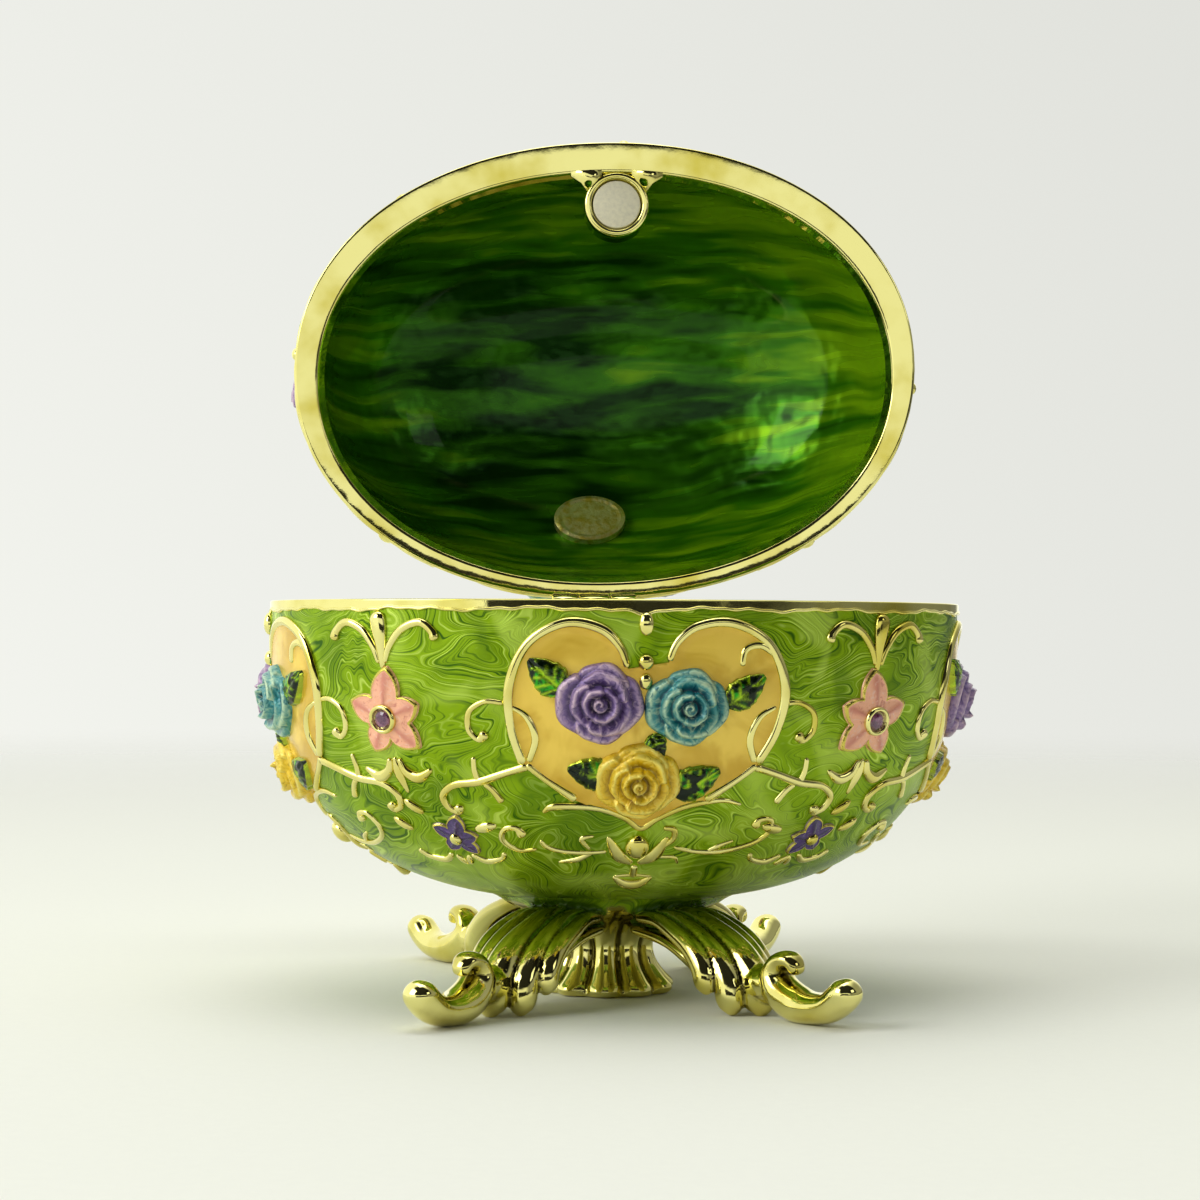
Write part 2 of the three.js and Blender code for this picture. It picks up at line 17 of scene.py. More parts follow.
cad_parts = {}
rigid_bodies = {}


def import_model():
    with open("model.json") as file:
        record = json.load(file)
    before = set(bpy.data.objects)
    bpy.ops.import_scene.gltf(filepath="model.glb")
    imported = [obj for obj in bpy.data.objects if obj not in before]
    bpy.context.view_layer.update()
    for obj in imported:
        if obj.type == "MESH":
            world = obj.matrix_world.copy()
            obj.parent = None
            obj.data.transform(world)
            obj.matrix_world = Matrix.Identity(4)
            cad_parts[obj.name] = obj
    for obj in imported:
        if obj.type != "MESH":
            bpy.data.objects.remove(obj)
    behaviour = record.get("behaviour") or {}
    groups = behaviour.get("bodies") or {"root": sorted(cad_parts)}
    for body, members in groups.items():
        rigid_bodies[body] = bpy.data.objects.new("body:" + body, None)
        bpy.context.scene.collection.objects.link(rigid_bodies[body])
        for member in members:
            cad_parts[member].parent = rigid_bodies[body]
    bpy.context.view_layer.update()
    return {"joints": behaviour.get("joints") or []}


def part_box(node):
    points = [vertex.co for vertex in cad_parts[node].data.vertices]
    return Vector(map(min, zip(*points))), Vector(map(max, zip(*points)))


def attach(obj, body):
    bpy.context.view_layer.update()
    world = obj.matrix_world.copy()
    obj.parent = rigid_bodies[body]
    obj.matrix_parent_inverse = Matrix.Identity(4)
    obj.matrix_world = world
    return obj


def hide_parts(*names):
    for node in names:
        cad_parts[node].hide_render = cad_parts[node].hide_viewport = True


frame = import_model()

bl_info = {
    "name": "Jewelled Egg Trinket Box",
    "version": (1, 0, 0),
    "blender": (4, 5, 0),
    "location": "View3D > Sidebar > Egg Box",
    "description": "Builds an enamelled egg trinket box with gold scrolls, roses and a scroll-footed stand",
    "category": "Add Mesh",
}

MM = 0.001
TURN = 2 * math.pi
POLISHED_GOLD = "Polished gold"
HINGE = frame["joints"][0]


# ---- settings ----------------------------------------------------------------------------------------

def length(name, default, description, lowest=0.0):
    """A setting in millimetres."""
    return FloatProperty(name=name, default=default, description=description, min=lowest, subtype="NONE",
                         precision=2)


def as_light(channel):
    """A channel of a screen colour, from 0 to 255, as an amount of light."""
    share = channel / 255
    return share / 12.92 if share <= 0.04045 else ((share + 0.055) / 1.055) ** 2.4


def tint(name, default, description):
    """A colour setting, given as red, green and blue from 0 to 255."""
    return FloatVectorProperty(name=name, default=[as_light(c) for c in default], description=description,
                               subtype="COLOR", size=3, min=0.0, max=1.0)


class EggSizes(bpy.types.PropertyGroup):
    """Sizes of the egg, its walls and its fittings, in millimetres."""

    half_length: length("Half length", 33.0, "Half the egg's length at the rim")
    half_width: length("Half width", 24.2, "Half the egg's width at the rim")
    plan_power: length("Plan fullness", 2.09, "Exponent of the outline: 2 is an ellipse, more is fuller")
    rim_height: length("Rim height", 37.4, "Height of the bowl's rim above the floor")
    bowl_depth: length("Bowl depth", 28.5, "Depth of the bowl's surface below its rim")
    bowl_power: length("Bowl fullness", 2.75, "Exponent of the bowl's profile")
    lid_depth: length("Lid depth", 22.5, "Height of the lid's surface over its rim")
    lid_power: length("Lid fullness", 2.5, "Exponent of the lid's profile")
    rim_gap: length("Rim gap", 0.3, "Gap between the closed lid and the bowl")
    wall: length("Wall", 2.2, "Thickness of the cast walls")
    mouth_half_width: length("Mouth half width", 22.0, "Half the width of the opening")
    mouth_shift: length("Mouth shift", 0.8, "How far the opening sits towards the hinge")
    pattern_shift: length("Pattern shift", 2.6, "How far the ornament is turned along the girth")
    flower_offset: length("Flower offset", 23.5, "Star flower from the front medallion along the girth")
    flower_shift: length("Flower shift", -0.9, "How far the star flowers sit askew of the medallions", -5.0)
    flower_drop: length("Flower drop", 10.7, "Star flower below the rim")
    rose_radius: length("Rose radius", 3.85, "Radius of a rose")
    rose_height: length("Rose height", 2.1, "Height of a rose above the enamel")
    magnet_radius: length("Magnet radius", 2.55, "Radius of the closing magnets")
    socket_radius: length("Socket radius", 3.5, "Radius of the magnet's socket")
    magnet_inset: length("Magnet inset", 6.5, "Magnet's centre from the front edge")
    magnet_girth: length("Magnet girth", 1.9, "Magnets along the rim from the front's middle")
    crystal_radius: length("Crystal radius", 0.92, "Radius of a violet crystal")
    stand_turn: FloatProperty(name="Stand turn", default=math.radians(3.8), subtype="ANGLE",
                              description="How far the stand is turned under the egg")
    facets: IntProperty(name="Facets round", default=288, min=48, description="Steps round the egg's girth")


class EggColours(bpy.types.PropertyGroup):
    """Colours of the finishes."""

    pearl_light: tint("Pearl light", (194, 222, 92), "Lightest streaks of the outer enamel")
    pearl_middle: tint("Pearl middle", (138, 174, 10), "Body colour of the outer enamel")
    pearl_dark: tint("Pearl dark", (52, 96, 2), "Dark streaks of the outer enamel")
    lining_light: tint("Lining light", (132, 182, 10), "Lightest streaks of the lining")
    lining_middle: tint("Lining middle", (54, 118, 2), "Body colour of the lining")
    lining_dark: tint("Lining dark", (12, 52, 1), "Darkest streaks of the lining")
    gold: tint("Gold", (238, 231, 150), "Pale gold plating")
    gold_deep: tint("Deep gold", (206, 192, 78), "Thinner patches of the plating")
    cream: tint("Cream", (250, 214, 86), "Cream enamel of the medallions")
    cream_deep: tint("Deep cream", (200, 158, 12), "Cream enamel where it pools")
    violet: tint("Violet", (118, 92, 156), "Violet rose")
    teal: tint("Teal", (26, 142, 148), "Teal rose")
    yellow: tint("Yellow", (240, 200, 6), "Yellow rose")
    leaf: tint("Leaf", (10, 92, 8), "Body of the leaves")
    leaf_vein: tint("Leaf vein", (176, 216, 16), "Veins and edges of the leaves")
    pink: tint("Pink", (255, 186, 150), "Star flowers")
    plum: tint("Plum", (70, 44, 116), "Small stars")
    crystal: tint("Crystal", (190, 130, 196), "Crystals")
    magnet: tint("Magnet", (230, 224, 196), "Magnet discs")
    floor: tint("Floor", (233, 234, 225), "Floor")
    backdrop: tint("Backdrop", (236, 237, 231), "Backdrop")


# ---- the egg's surface -------------------------------------------------------------------------------

def signed_power(value, power):
    return np.sign(value) * np.abs(value) ** power


def unit(vectors):
    return vectors / np.maximum(np.linalg.norm(vectors, axis=-1, keepdims=True), 1e-12)


def around(sides):
    """Angles evenly spaced round a turn."""
    return np.linspace(0, TURN, sides, endpoint=False)


def running(steps):
    """How far each point lies along a run, from the steps between the points."""
    return np.concatenate([[0], np.cumsum(steps)])


class Outline:
    """The egg's outline at the rim, by its girth: millimetres from the front's middle, towards +X."""

    def __init__(self, sizes):
        angle = np.linspace(-math.pi / 2, 1.5 * math.pi, 2881)
        self.x = sizes.half_length * signed_power(np.cos(angle), 2 / sizes.plan_power)
        self.y = sizes.half_width * signed_power(np.sin(angle), 2 / sizes.plan_power)
        self.run = running(np.hypot(np.diff(self.x), np.diff(self.y)))
        self.girth = self.run[-1]

    def at(self, girth):
        run = np.mod(girth, self.girth)
        return np.interp(run, self.run, self.x), np.interp(run, self.run, self.y)


class EggHalf:
    """One half of the egg's skin. A place on it is a girth and a drop from the rim, in millimetres."""

    STEP = 0.15  # between two places that a direction is taken from

    def __init__(self, sizes, outline, depth, power, rim, up):
        self.sizes, self.outline = sizes, outline
        self.depth, self.power, self.rim, self.up = depth, power, rim, up
        angle = np.linspace(0, math.pi / 2, 1501)
        self.scale = np.maximum(np.cos(angle), 0) ** (2 / power)
        self.fall = depth * np.sin(angle) ** (2 / power)
        middling = (sizes.half_length + sizes.half_width) / 2
        self.run = running(np.hypot(np.diff(self.scale) * middling, np.diff(self.fall)))

    def on(self, girth, drop):
        """A place's point in space, with the egg closed."""
        girth, drop = np.broadcast_arrays(np.asarray(girth, float), np.asarray(drop, float))
        scale = np.interp(drop, self.run, self.scale)
        fall = np.interp(drop, self.run, self.fall)
        x, y = self.outline.at(girth)
        return np.stack([x * scale, y * scale, self.rim + self.up * fall], -1)

    def axes(self, girth, drop):
        """The place, and its directions along the girth, down the drop and out of the surface."""
        girth, drop = np.broadcast_arrays(np.asarray(girth, float), np.asarray(drop, float))
        step = self.STEP
        along = unit((self.on(girth + step, drop) - self.on(girth - step, drop)) / (2 * step))
        down = self.on(girth, drop + step) - self.on(girth, np.maximum(drop - step, 0))
        down = unit(down - along * np.sum(down * along, -1, keepdims=True))
        out = np.cross(along, down) * self.up
        return self.on(girth, drop), along, down, out

    def wrap(self, girth, drop, height):
        """The point at a height above a place."""
        place, _, _, out = self.axes(girth, drop)
        return place + out * np.asarray(height, float)[..., None]

    def patch(self, girth, drop, x, y, height):
        """Flat coordinates round a place, laid on the surface without stretching them."""
        step = self.STEP
        across = np.linalg.norm(self.on(girth + step, drop) - self.on(girth - step, drop)) / (2 * step)
        along = np.linalg.norm(self.on(girth, drop + step) - self.on(girth, drop - step)) / (2 * step)
        return self.wrap(girth + x / max(across, 0.2), np.maximum(drop + y / along, 0), height)

    def opening(self, girth, scale, fall):
        """A ring of the opening's outline, drawn in towards its middle by scale, at a fall from the rim."""
        s = self.sizes
        x, y = self.outline.at(girth)
        x = (x / s.half_length) * (s.half_length - s.wall) * scale
        y = ((y / s.half_width) * s.mouth_half_width + s.mouth_shift) * scale
        return np.stack([x, y, np.broadcast_to(self.rim + self.up * fall, x.shape)], -1)


class Egg:
    """Both halves and the places of the ornament, worked out from the settings."""

    def __init__(self, sizes):
        self.sizes = sizes
        self.outline = Outline(sizes)
        lid_rim = sizes.rim_height + sizes.rim_gap
        self.halves = {
            "bowl": EggHalf(sizes, self.outline, sizes.bowl_depth, sizes.bowl_power, sizes.rim_height, -1),
            "lid": EggHalf(sizes, self.outline, sizes.lid_depth, sizes.lid_power, lid_rim, 1),
        }
        quarter = self.outline.girth / 4
        self.medallions = [sizes.pattern_shift + quarter * i for i in range(4)]
        # Each star flower's girth, its flip, and the medallion it stands beside.
        self.flowers = [(medallion + sizes.flower_shift + side * sizes.flower_offset, -side, medallion)
                        for medallion in self.medallions[::2] for side in (-1, 1)]
        self.hinge_place = np.array(HINGE["pos_m"]) / MM
        self.hinge_axis = unit(np.array(HINGE["axis"], float))
        self.open_turn = np.array(Matrix.Rotation(math.pi / 2, 3, Vector(self.hinge_axis)))

    def settle(self, body, points):
        """Puts a lid's points, which are worked out with the lid closed, where the open lid has them."""
        if body == "bowl":
            return points
        return (points - self.hinge_place) @ self.open_turn.T + self.hinge_place


# ---- meshes ------------------------------------------------------------------------------------------

WIRE_SIDES = 10
WIRE_SWELL = 0.86  # a wire's height over its half width
WIRE_RISE = 0.1  # how far its middle stands off the enamel, as a share of its half width
WIRE_STEPS = 8  # between two places


class Casting:
    """Gathers skins of one piece, in millimetres, and makes them one mesh object."""

    def __init__(self, egg, body):
        self.egg, self.body = egg, body
        self.points, self.faces, self.marks, self.count = [], [], {}, 0

    def add(self, points, faces, **marks):
        points = np.asarray(points, float).reshape(-1, 3)
        self.points.append(points)
        self.faces.extend([tuple(i + self.count for i in face) for face in faces])
        for name, values in marks.items():
            values = np.broadcast_to(np.asarray(values, float).ravel(), (len(points),))
            self.marks.setdefault(name, []).append((self.count, values))
        self.count += len(points)

    def build(self, name, slot, finish):
        points = self.egg.settle(self.body, np.concatenate(self.points)) * MM
        mesh = bpy.data.meshes.new(name)
        mesh.from_pydata(points.tolist(), [], self.faces)
        for mark, runs in self.marks.items():
            values = np.zeros(self.count, np.float32)
            for start, part in runs:
                values[start:start + len(part)] = part
            mesh.attributes.new(mark, "FLOAT", "POINT").data.foreach_set("value", values)
        mesh.update()
        piece = bpy.data.objects.new(name, mesh)
        bpy.context.scene.collection.objects.link(piece)
        mesh.polygons.foreach_set("use_smooth", [True] * len(mesh.polygons))
        mesh.materials.append(finish)
        enrol(piece, self.body, slot)
        return piece


def enrol(piece, body, slot, *nodes):
    """Rides a piece on its body and hides the CAD nodes it stands for; the slot is not used."""
    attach(piece, body)
    if nodes:
        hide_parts(*nodes)


def deselect():
    for item in bpy.context.scene.objects:
        item.select_set(False)


def added(name):
    """The piece that an operator has just added, under its own name."""
    piece = bpy.context.object
    piece.name = piece.data.name = name
    return piece


def add_cylinder(name, sides, radius, depth):
    """A plain upright cylinder round the origin, in millimetres."""
    deselect()
    bpy.ops.mesh.primitive_cylinder_add(vertices=sides, radius=radius * MM, depth=depth * MM,
                                        location=(0, 0, 0))
    return added(name)


def inset_end(piece, up, insets):
    """Insets a cylinder's end, upper (1) or lower (-1), by steps of (thickness, depth). Edit mode."""
    bpy.ops.mesh.select_all(action="DESELECT")
    for face in bmesh.from_edit_mesh(piece.data).faces:
        face.select_set(face.normal.z * up > 0.9)
    for thickness, depth in insets:
        bpy.ops.mesh.inset(thickness=thickness * MM, depth=depth * MM)


def point_vectors(mesh, kind="co"):
    """A vector for each of a mesh's points: its place, or its normal."""
    values = np.zeros(len(mesh.vertices) * 3)
    mesh.vertices.foreach_get(kind, values)
    return values.reshape(-1, 3)


def move_points(piece, change):
    """Moves a piece's points to where change puts them, in millimetres."""
    moved = change(point_vectors(piece.data) / MM)
    piece.data.vertices.foreach_set("co", (moved * MM).ravel())
    piece.data.update()


def turned(faces, flip):
    """The faces, seen from their other side if flip."""
    return [face[::-1] for face in faces] if flip else faces


def tube_faces(rings, sides, closed=False):
    """Faces of a skin over rings of points, with fans over its ends unless it closes on itself."""
    faces = []
    last = rings if closed else rings - 1
    for r in range(last):
        a, b = r * sides, ((r + 1) % rings) * sides
        faces.extend((a + i, a + (i + 1) % sides, b + (i + 1) % sides, b + i) for i in range(sides))
    if not closed:
        faces.append(tuple(reversed(range(sides))))
        faces.append(tuple(range((rings - 1) * sides, rings * sides)))
    return faces


def grid_faces(rows, columns):
    """Faces of an open grid, row after row."""
    corners = [r * columns + c for r in range(rows - 1) for c in range(columns - 1)]
    return [(a, a + 1, a + columns + 1, a + columns) for a in corners]


def polar_faces(rings, spokes):
    """Faces of a polar grid whose first ring is a single middle repeated."""
    faces = []
    for r in range(rings - 1):
        for s in range(spokes):
            a, b = r * spokes + s, r * spokes + (s + 1) % spokes
            faces.append((a, b, b + spokes, a + spokes) if r else (a, b + spokes, a + spokes))
    return faces


def smooth_through(places, steps):
    """A smooth run through rows of numbers."""
    rows = np.asarray(places, float)
    padded = np.vstack([2 * rows[0] - rows[1], rows, 2 * rows[-1] - rows[-2]])
    t = np.linspace(0, len(rows) - 1, steps)
    i = np.minimum(t.astype(int), len(rows) - 2)
    f = (t - i)[:, None]
    a, b, c, d = (padded[i + k] for k in range(4))
    return 0.5 * (2 * b + (c - a) * f + (2 * a - 5 * b + 4 * c - d) * f**2 + (3 * b - a - 3 * c + d) * f**3)


def round_ends(spots, radius):
    """How far a tube through the spots is narrowed towards its two round ends."""
    distance = running(np.linalg.norm(np.diff(spots, axis=0), axis=1))
    near = np.clip(1 - distance / np.maximum(radius[0], 1e-6), 0, 1)
    far = np.clip(1 - (distance[-1] - distance) / np.maximum(radius[-1], 1e-6), 0, 1)
    return np.sqrt(np.clip(1 - near**2, 0.02, 1)) * np.sqrt(np.clip(1 - far**2, 0.02, 1))


def sweep(casting, spots, side, face, breadth, radius, sides, swell=1.0, rise=0.0):
    """A tube through the spots, reaching to its sides by its breadth and off its face by its radius."""
    angle = around(sides)
    rings = spots[:, None] + side[:, None] * (breadth[:, None] * np.cos(angle))[..., None]
    rings = rings + face[:, None] * (radius[:, None] * (swell * np.sin(angle) + rise))[..., None]
    casting.add(rings, tube_faces(len(spots), sides))


def add_stroke(casting, half, centre, places, flip=1, swell=WIRE_SWELL):
    """A raised gold wire on the egg, through places given as (girth, drop, half width)."""
    fine = smooth_through([(centre + flip * g, d, r) for g, d, r in places], len(places) * WIRE_STEPS)
    spots, _, _, out = half.axes(fine[:, 0], fine[:, 1])
    side = unit(np.cross(unit(np.gradient(spots, axis=0)), out))
    radius = 1.14 * fine[:, 2] * round_ends(spots, fine[:, 2])
    sweep(casting, spots, side, out, radius, radius, WIRE_SIDES, swell, WIRE_RISE)


def add_lathe(casting, profile, sides, place, flip=False, hollow=False):
    """A turned form: its profile is rows of (radius, height), and place(x, y, height) puts it in space."""
    angle = around(sides)
    rings = [place(r * np.cos(angle), r * np.sin(angle), np.full(sides, height)) for r, height in profile]
    casting.add(np.concatenate(rings), turned(tube_faces(len(rings), sides, hollow), flip))


def add_bead(casting, half, girth, drop, radius, stretch=1.0, lift=0.25, turn=0.0):
    """A round or drop-shaped bead on the egg, longer along its own turned axis by stretch."""
    rows, sides = 9, 16
    a = np.linspace(0, math.pi, rows)[:, None]
    b = around(sides)[None]
    across = radius * np.sin(a) * np.cos(b)
    along = radius * stretch * np.cos(a) * np.ones_like(b)
    height = radius * 0.8 * np.sin(a) * np.sin(b) + lift * radius
    x = across * math.cos(turn) - along * math.sin(turn)
    y = across * math.sin(turn) + along * math.cos(turn)
    casting.add(half.patch(girth, drop, x, y, height), tube_faces(rows, sides))


# ---- ornament ----------------------------------------------------------------------------------------
# Places are (girth from the middle of a medallion or star flower, drop from the rim, half width of the wire).

HEART_LEFT = [(-1.5, 6.1, 0.28), (-2.2, 4.2, 0.36), (-3.9, 2.6, 0.46), (-7.0, 2.1, 0.44), (-10.3, 3.9, 0.40),
              (-12.0, 7.4, 0.46), (-12.1, 11.2, 0.40), (-11.2, 14.9, 0.42)]
HEART_RIGHT = [(2.1, 5.5, 0.28), (2.9, 3.7, 0.34), (4.8, 2.3, 0.40), (8.0, 2.1, 0.44), (11.2, 3.9, 0.42),
               (12.8, 7.6, 0.48), (12.4, 11.4, 0.42), (10.9, 14.7, 0.42)]
HEART_FOOT = [(11.0, 14.7, 0.34), (9.2, 16.2, 0.30), (6.3, 18.2, 0.42)]
INNER_LEAF = [(12.2, 9.4, 0.18), (10.6, 10.4, 0.30), (9.9, 12.4, 0.34), (10.7, 14.6, 0.30)]
INNER_HOOK = [(12.0, 5.0, 0.26), (10.4, 4.0, 0.34), (9.0, 4.4, 0.30), (8.7, 5.9, 0.26)]
SIDE_SCROLL = [(12.6, 9.2, 0.22), (14.4, 9.1, 0.24), (15.9, 10.0, 0.26), (16.1, 11.6, 0.28),
               (15.2, 12.5, 0.30), (14.4, 11.8, 0.62)]
BRANCH = [(10.7, 14.9, 0.38), (13.0, 15.6, 0.34), (15.9, 16.5, 0.38), (18.6, 16.9, 0.34), (20.1, 18.0, 0.34),
          (19.9, 19.2, 0.32), (18.9, 19.6, 0.36), (18.7, 18.8, 0.60)]
TWIG = [(15.9, 16.5, 0.30), (16.1, 15.4, 0.26), (16.0, 14.1, 0.22)]
FORK = [(15.4, 16.6, 0.28), (14.6, 17.4, 0.28), (13.9, 18.6, 0.34)]
SWOOSH = [(-10.0, 19.6, 0.16), (-8.6, 18.9, 0.34), (-4.5, 19.0, 0.30), (-1.6, 20.0, 0.30), (0.2, 21.2, 0.30),
          (1.9, 20.1, 0.28), (4.6, 18.8, 0.30), (8.0, 18.2, 0.26), (10.4, 18.7, 0.14)]
STEM = [(-0.5, 1.1, 0.75), (-0.2, 2.6, 0.72), (0.0, 4.4, 0.46), (0.1, 6.3, 0.22)]
STEM_CURL = [(0.3, 5.8, 0.20), (0.9, 4.2, 0.32), (2.2, 2.7, 0.36), (4.0, 2.1, 0.36), (5.2, 2.9, 0.38),
             (5.5, 3.8, 0.52)]
BUD_LEAF = [(0.5, 14.4, 0.22), (1.0, 15.6, 0.42), (2.3, 16.2, 0.52), (3.9, 15.4, 0.18)]
BUD_BLADE = [(0.0, 14.3, 0.18), (0.1, 15.8, 0.46), (0.4, 17.9, 0.14)]
VINE_RIGHT = [(4.2, 23.6, 0.18), (7.0, 24.2, 0.24), (10.2, 24.2, 0.28), (13.4, 23.2, 0.26),
              (14.7, 21.8, 0.26), (14.2, 20.4, 0.26), (12.9, 20.4, 0.30), (12.7, 21.3, 0.54)]
VINE_LEFT = [(-3.4, 24.2, 0.18), (-6.0, 24.4, 0.22), (-8.8, 24.2, 0.24), (-10.4, 23.6, 0.24),
             (-10.9, 22.8, 0.18)]
LOOP_LEFT = [(-11.6, 24.0, 0.18), (-13.8, 24.2, 0.24), (-15.2, 22.9, 0.30), (-14.6, 21.6, 0.28),
             (-13.2, 21.4, 0.30), (-12.6, 22.4, 0.58)]
VINE_BLADES = [
    [(8.4, 24.2, 0.16), (9.6, 23.4, 0.24), (11.0, 22.8, 0.12)],
    [(-5.2, 24.4, 0.18), (-7.2, 25.4, 0.30), (-9.6, 25.9, 0.12)],
    [(-5.4, 24.0, 0.14), (-6.2, 22.6, 0.26), (-4.8, 22.2, 0.12)],
    [(2.4, 25.0, 0.14), (4.6, 25.0, 0.18), (5.4, 26.0, 0.12)],
]
PALM_HOOK = [(2.6, 23.8, 0.20), (3.9, 22.6, 0.26), (3.8, 21.4, 0.28), (2.6, 21.2, 0.22)]
PALM_PETAL = [(0.3, 26.0, 0.26), (2.0, 24.8, 0.62), (3.0, 23.0, 0.34), (3.3, 22.3, 0.12)]
BOAT_HULL = [(-2.7, 28.4, 0.16), (-1.4, 29.4, 0.48), (0.0, 29.7, 0.58), (1.4, 29.4, 0.48), (2.7, 28.4, 0.16)]
BOAT_DECK = [(-2.6, 28.3, 0.16), (0.0, 28.0, 0.18), (2.6, 28.3, 0.16)]
BOAT_STEM = [(0.0, 26.2, 0.3), (0.0, 28.2, 0.34)]
STAR_SWAG = [(1.3, 25.0, 0.22), (2.9, 25.9, 0.34), (5.1, 25.5, 0.28), (5.9, 24.6, 0.22)]
# Beads beside a star flower: (girth, drop, radius, stretch, turn).
STAR_BEADS = [(0.4, 19.2, 0.5, 2.1, -0.8), (7.8, 21.3, 0.55, 2.1, 1.3), (-2.2, 21.2, 0.5, 2.0, -0.8)]
SWAG_GIRTH = 2.7
# (colour, girth, drop, size, turn)
ROSES = [("violet", -3.9, 9.1, 1.02, 0.3), ("teal", 3.9, 9.4, 0.97, 1.7), ("yellow", -0.3, 16.2, 1.0, 2.6)]
# (girth, drop, direction in degrees, length, half width)
LEAVES = [(-7.0, 8.2, 222, 4.4, 1.7), (7.4, 9.4, -40, 4.4, 1.5), (-2.9, 15.9, 193, 4.0, 1.6),
          (3.0, 17.4, -30, 4.6, 1.7), (0.6, 11.9, 60, 2.4, 1.1)]
SMALL_STAR = (20.6, 22.6)
STAR_PETALS = [(-83, 4.9), (-20, 3.9), (40, 4.3), (118, 3.6), (205, 4.0)]  # (direction in degrees, length)


def heart_outline():
    """The medallion field's outline, as (girth, drop) from its middle."""
    left, right, foot, swoosh = (smooth_through([row[:2] for row in places], steps) for places, steps in (
        (HEART_LEFT, 48), (HEART_RIGHT, 48), (HEART_FOOT, 12), (SWOOSH[2:7], 24)))
    return np.vstack([right, foot, swoosh[::-1], (foot * [-1, 1])[::-1], left[::-1]])


def add_field(casting, half, centre):
    """The cream enamel inside a medallion's gold outline, drawn up a little along the wire."""
    edge = heart_outline()
    low, high = edge.min(0), edge.max(0)
    gap = 0.45
    x, y = np.meshgrid(*(np.arange(start, end, gap) for start, end in zip(low, high)))
    inner = np.stack([x.ravel(), y.ravel()], 1)
    reach = np.linalg.norm(inner[:, None] - edge[None], axis=2).min(1)
    inner = inner[reach > gap * 0.6]
    points = [Vector(p) for p in np.vstack([edge, inner])]
    ring = [(i, (i + 1) % len(edge)) for i in range(len(edge))]
    spots, _, faces, _, _, _ = delaunay_2d_cdt(points, ring, [], 1, 1e-5)
    flat = np.array([tuple(p) for p in spots])
    reach = np.linalg.norm(flat[:, None] - edge[None], axis=2).min(1)
    height = 0.1 + 0.14 * np.exp(-reach / 0.5)
    place = half.wrap(centre + flat[:, 0], flat[:, 1], height)
    casting.add(place, turned(faces, half.up < 0), pool=np.exp(-reach / 0.8))


def medallion_strokes(full):
    """The gold wires of one medallion, as (places, flip)."""
    strokes = [(HEART_LEFT, 1), (HEART_RIGHT, 1), (INNER_HOOK, 1), (SWOOSH, 1)]
    strokes += [(places, flip) for places in (HEART_FOOT, INNER_LEAF, SIDE_SCROLL, BRANCH, TWIG, FORK)
                for flip in (1, -1)]
    if full:
        strokes += [(VINE_RIGHT, 1), (VINE_LEFT, 1), (LOOP_LEFT, 1), (PALM_HOOK, 1)]
        strokes += [(places, 1) for places in VINE_BLADES]
    return strokes


def add_medallion_wires(casting, half, centre, full):
    """One medallion's wires and beads, with the vine and the boat under it if full."""
    for places, flip in medallion_strokes(full):
        add_stroke(casting, half, centre, places, flip)
    add_bead(casting, half, centre + 0.1, 2.2, 0.72, 1.5)
    add_bead(casting, half, centre + 0.1, 5.5, 0.74)
    add_bead(casting, half, centre + 0.1, 7.2, 0.62, 1.2)
    if full:
        for flip in (1, -1):
            add_stroke(casting, half, centre, PALM_PETAL, flip, 0.5)
        add_bead(casting, half, centre, 23.4, 1.1, 1.15, 0.15)
        for places in (BOAT_HULL, BOAT_DECK, BOAT_STEM):
            add_stroke(casting, half, centre, places)


def add_flower_wires(casting, half, girth, flip, full):
    """The stem and curls over a star flower, and the leaves under it."""
    add_stroke(casting, half, girth, STEM, flip, 0.6)
    for side in (1, -1):
        add_stroke(casting, half, girth, STEM_CURL, side)
        add_stroke(casting, half, girth, BUD_LEAF, side)
    add_stroke(casting, half, girth, BUD_BLADE, flip, 0.6)
    if full:
        for along, drop, radius, stretch, turn in STAR_BEADS:
            add_bead(casting, half, girth + along * flip, drop, radius, stretch, 0.2, turn * flip)
        for side in (1, -1):
            bead = girth + (SWAG_GIRTH + side * 0.5) * flip
            add_stroke(casting, half, girth + SWAG_GIRTH * flip, STAR_SWAG, side)
            add_bead(casting, half, bead, 25.9, 0.34, 2.2, 0.1, 0.35 * side)


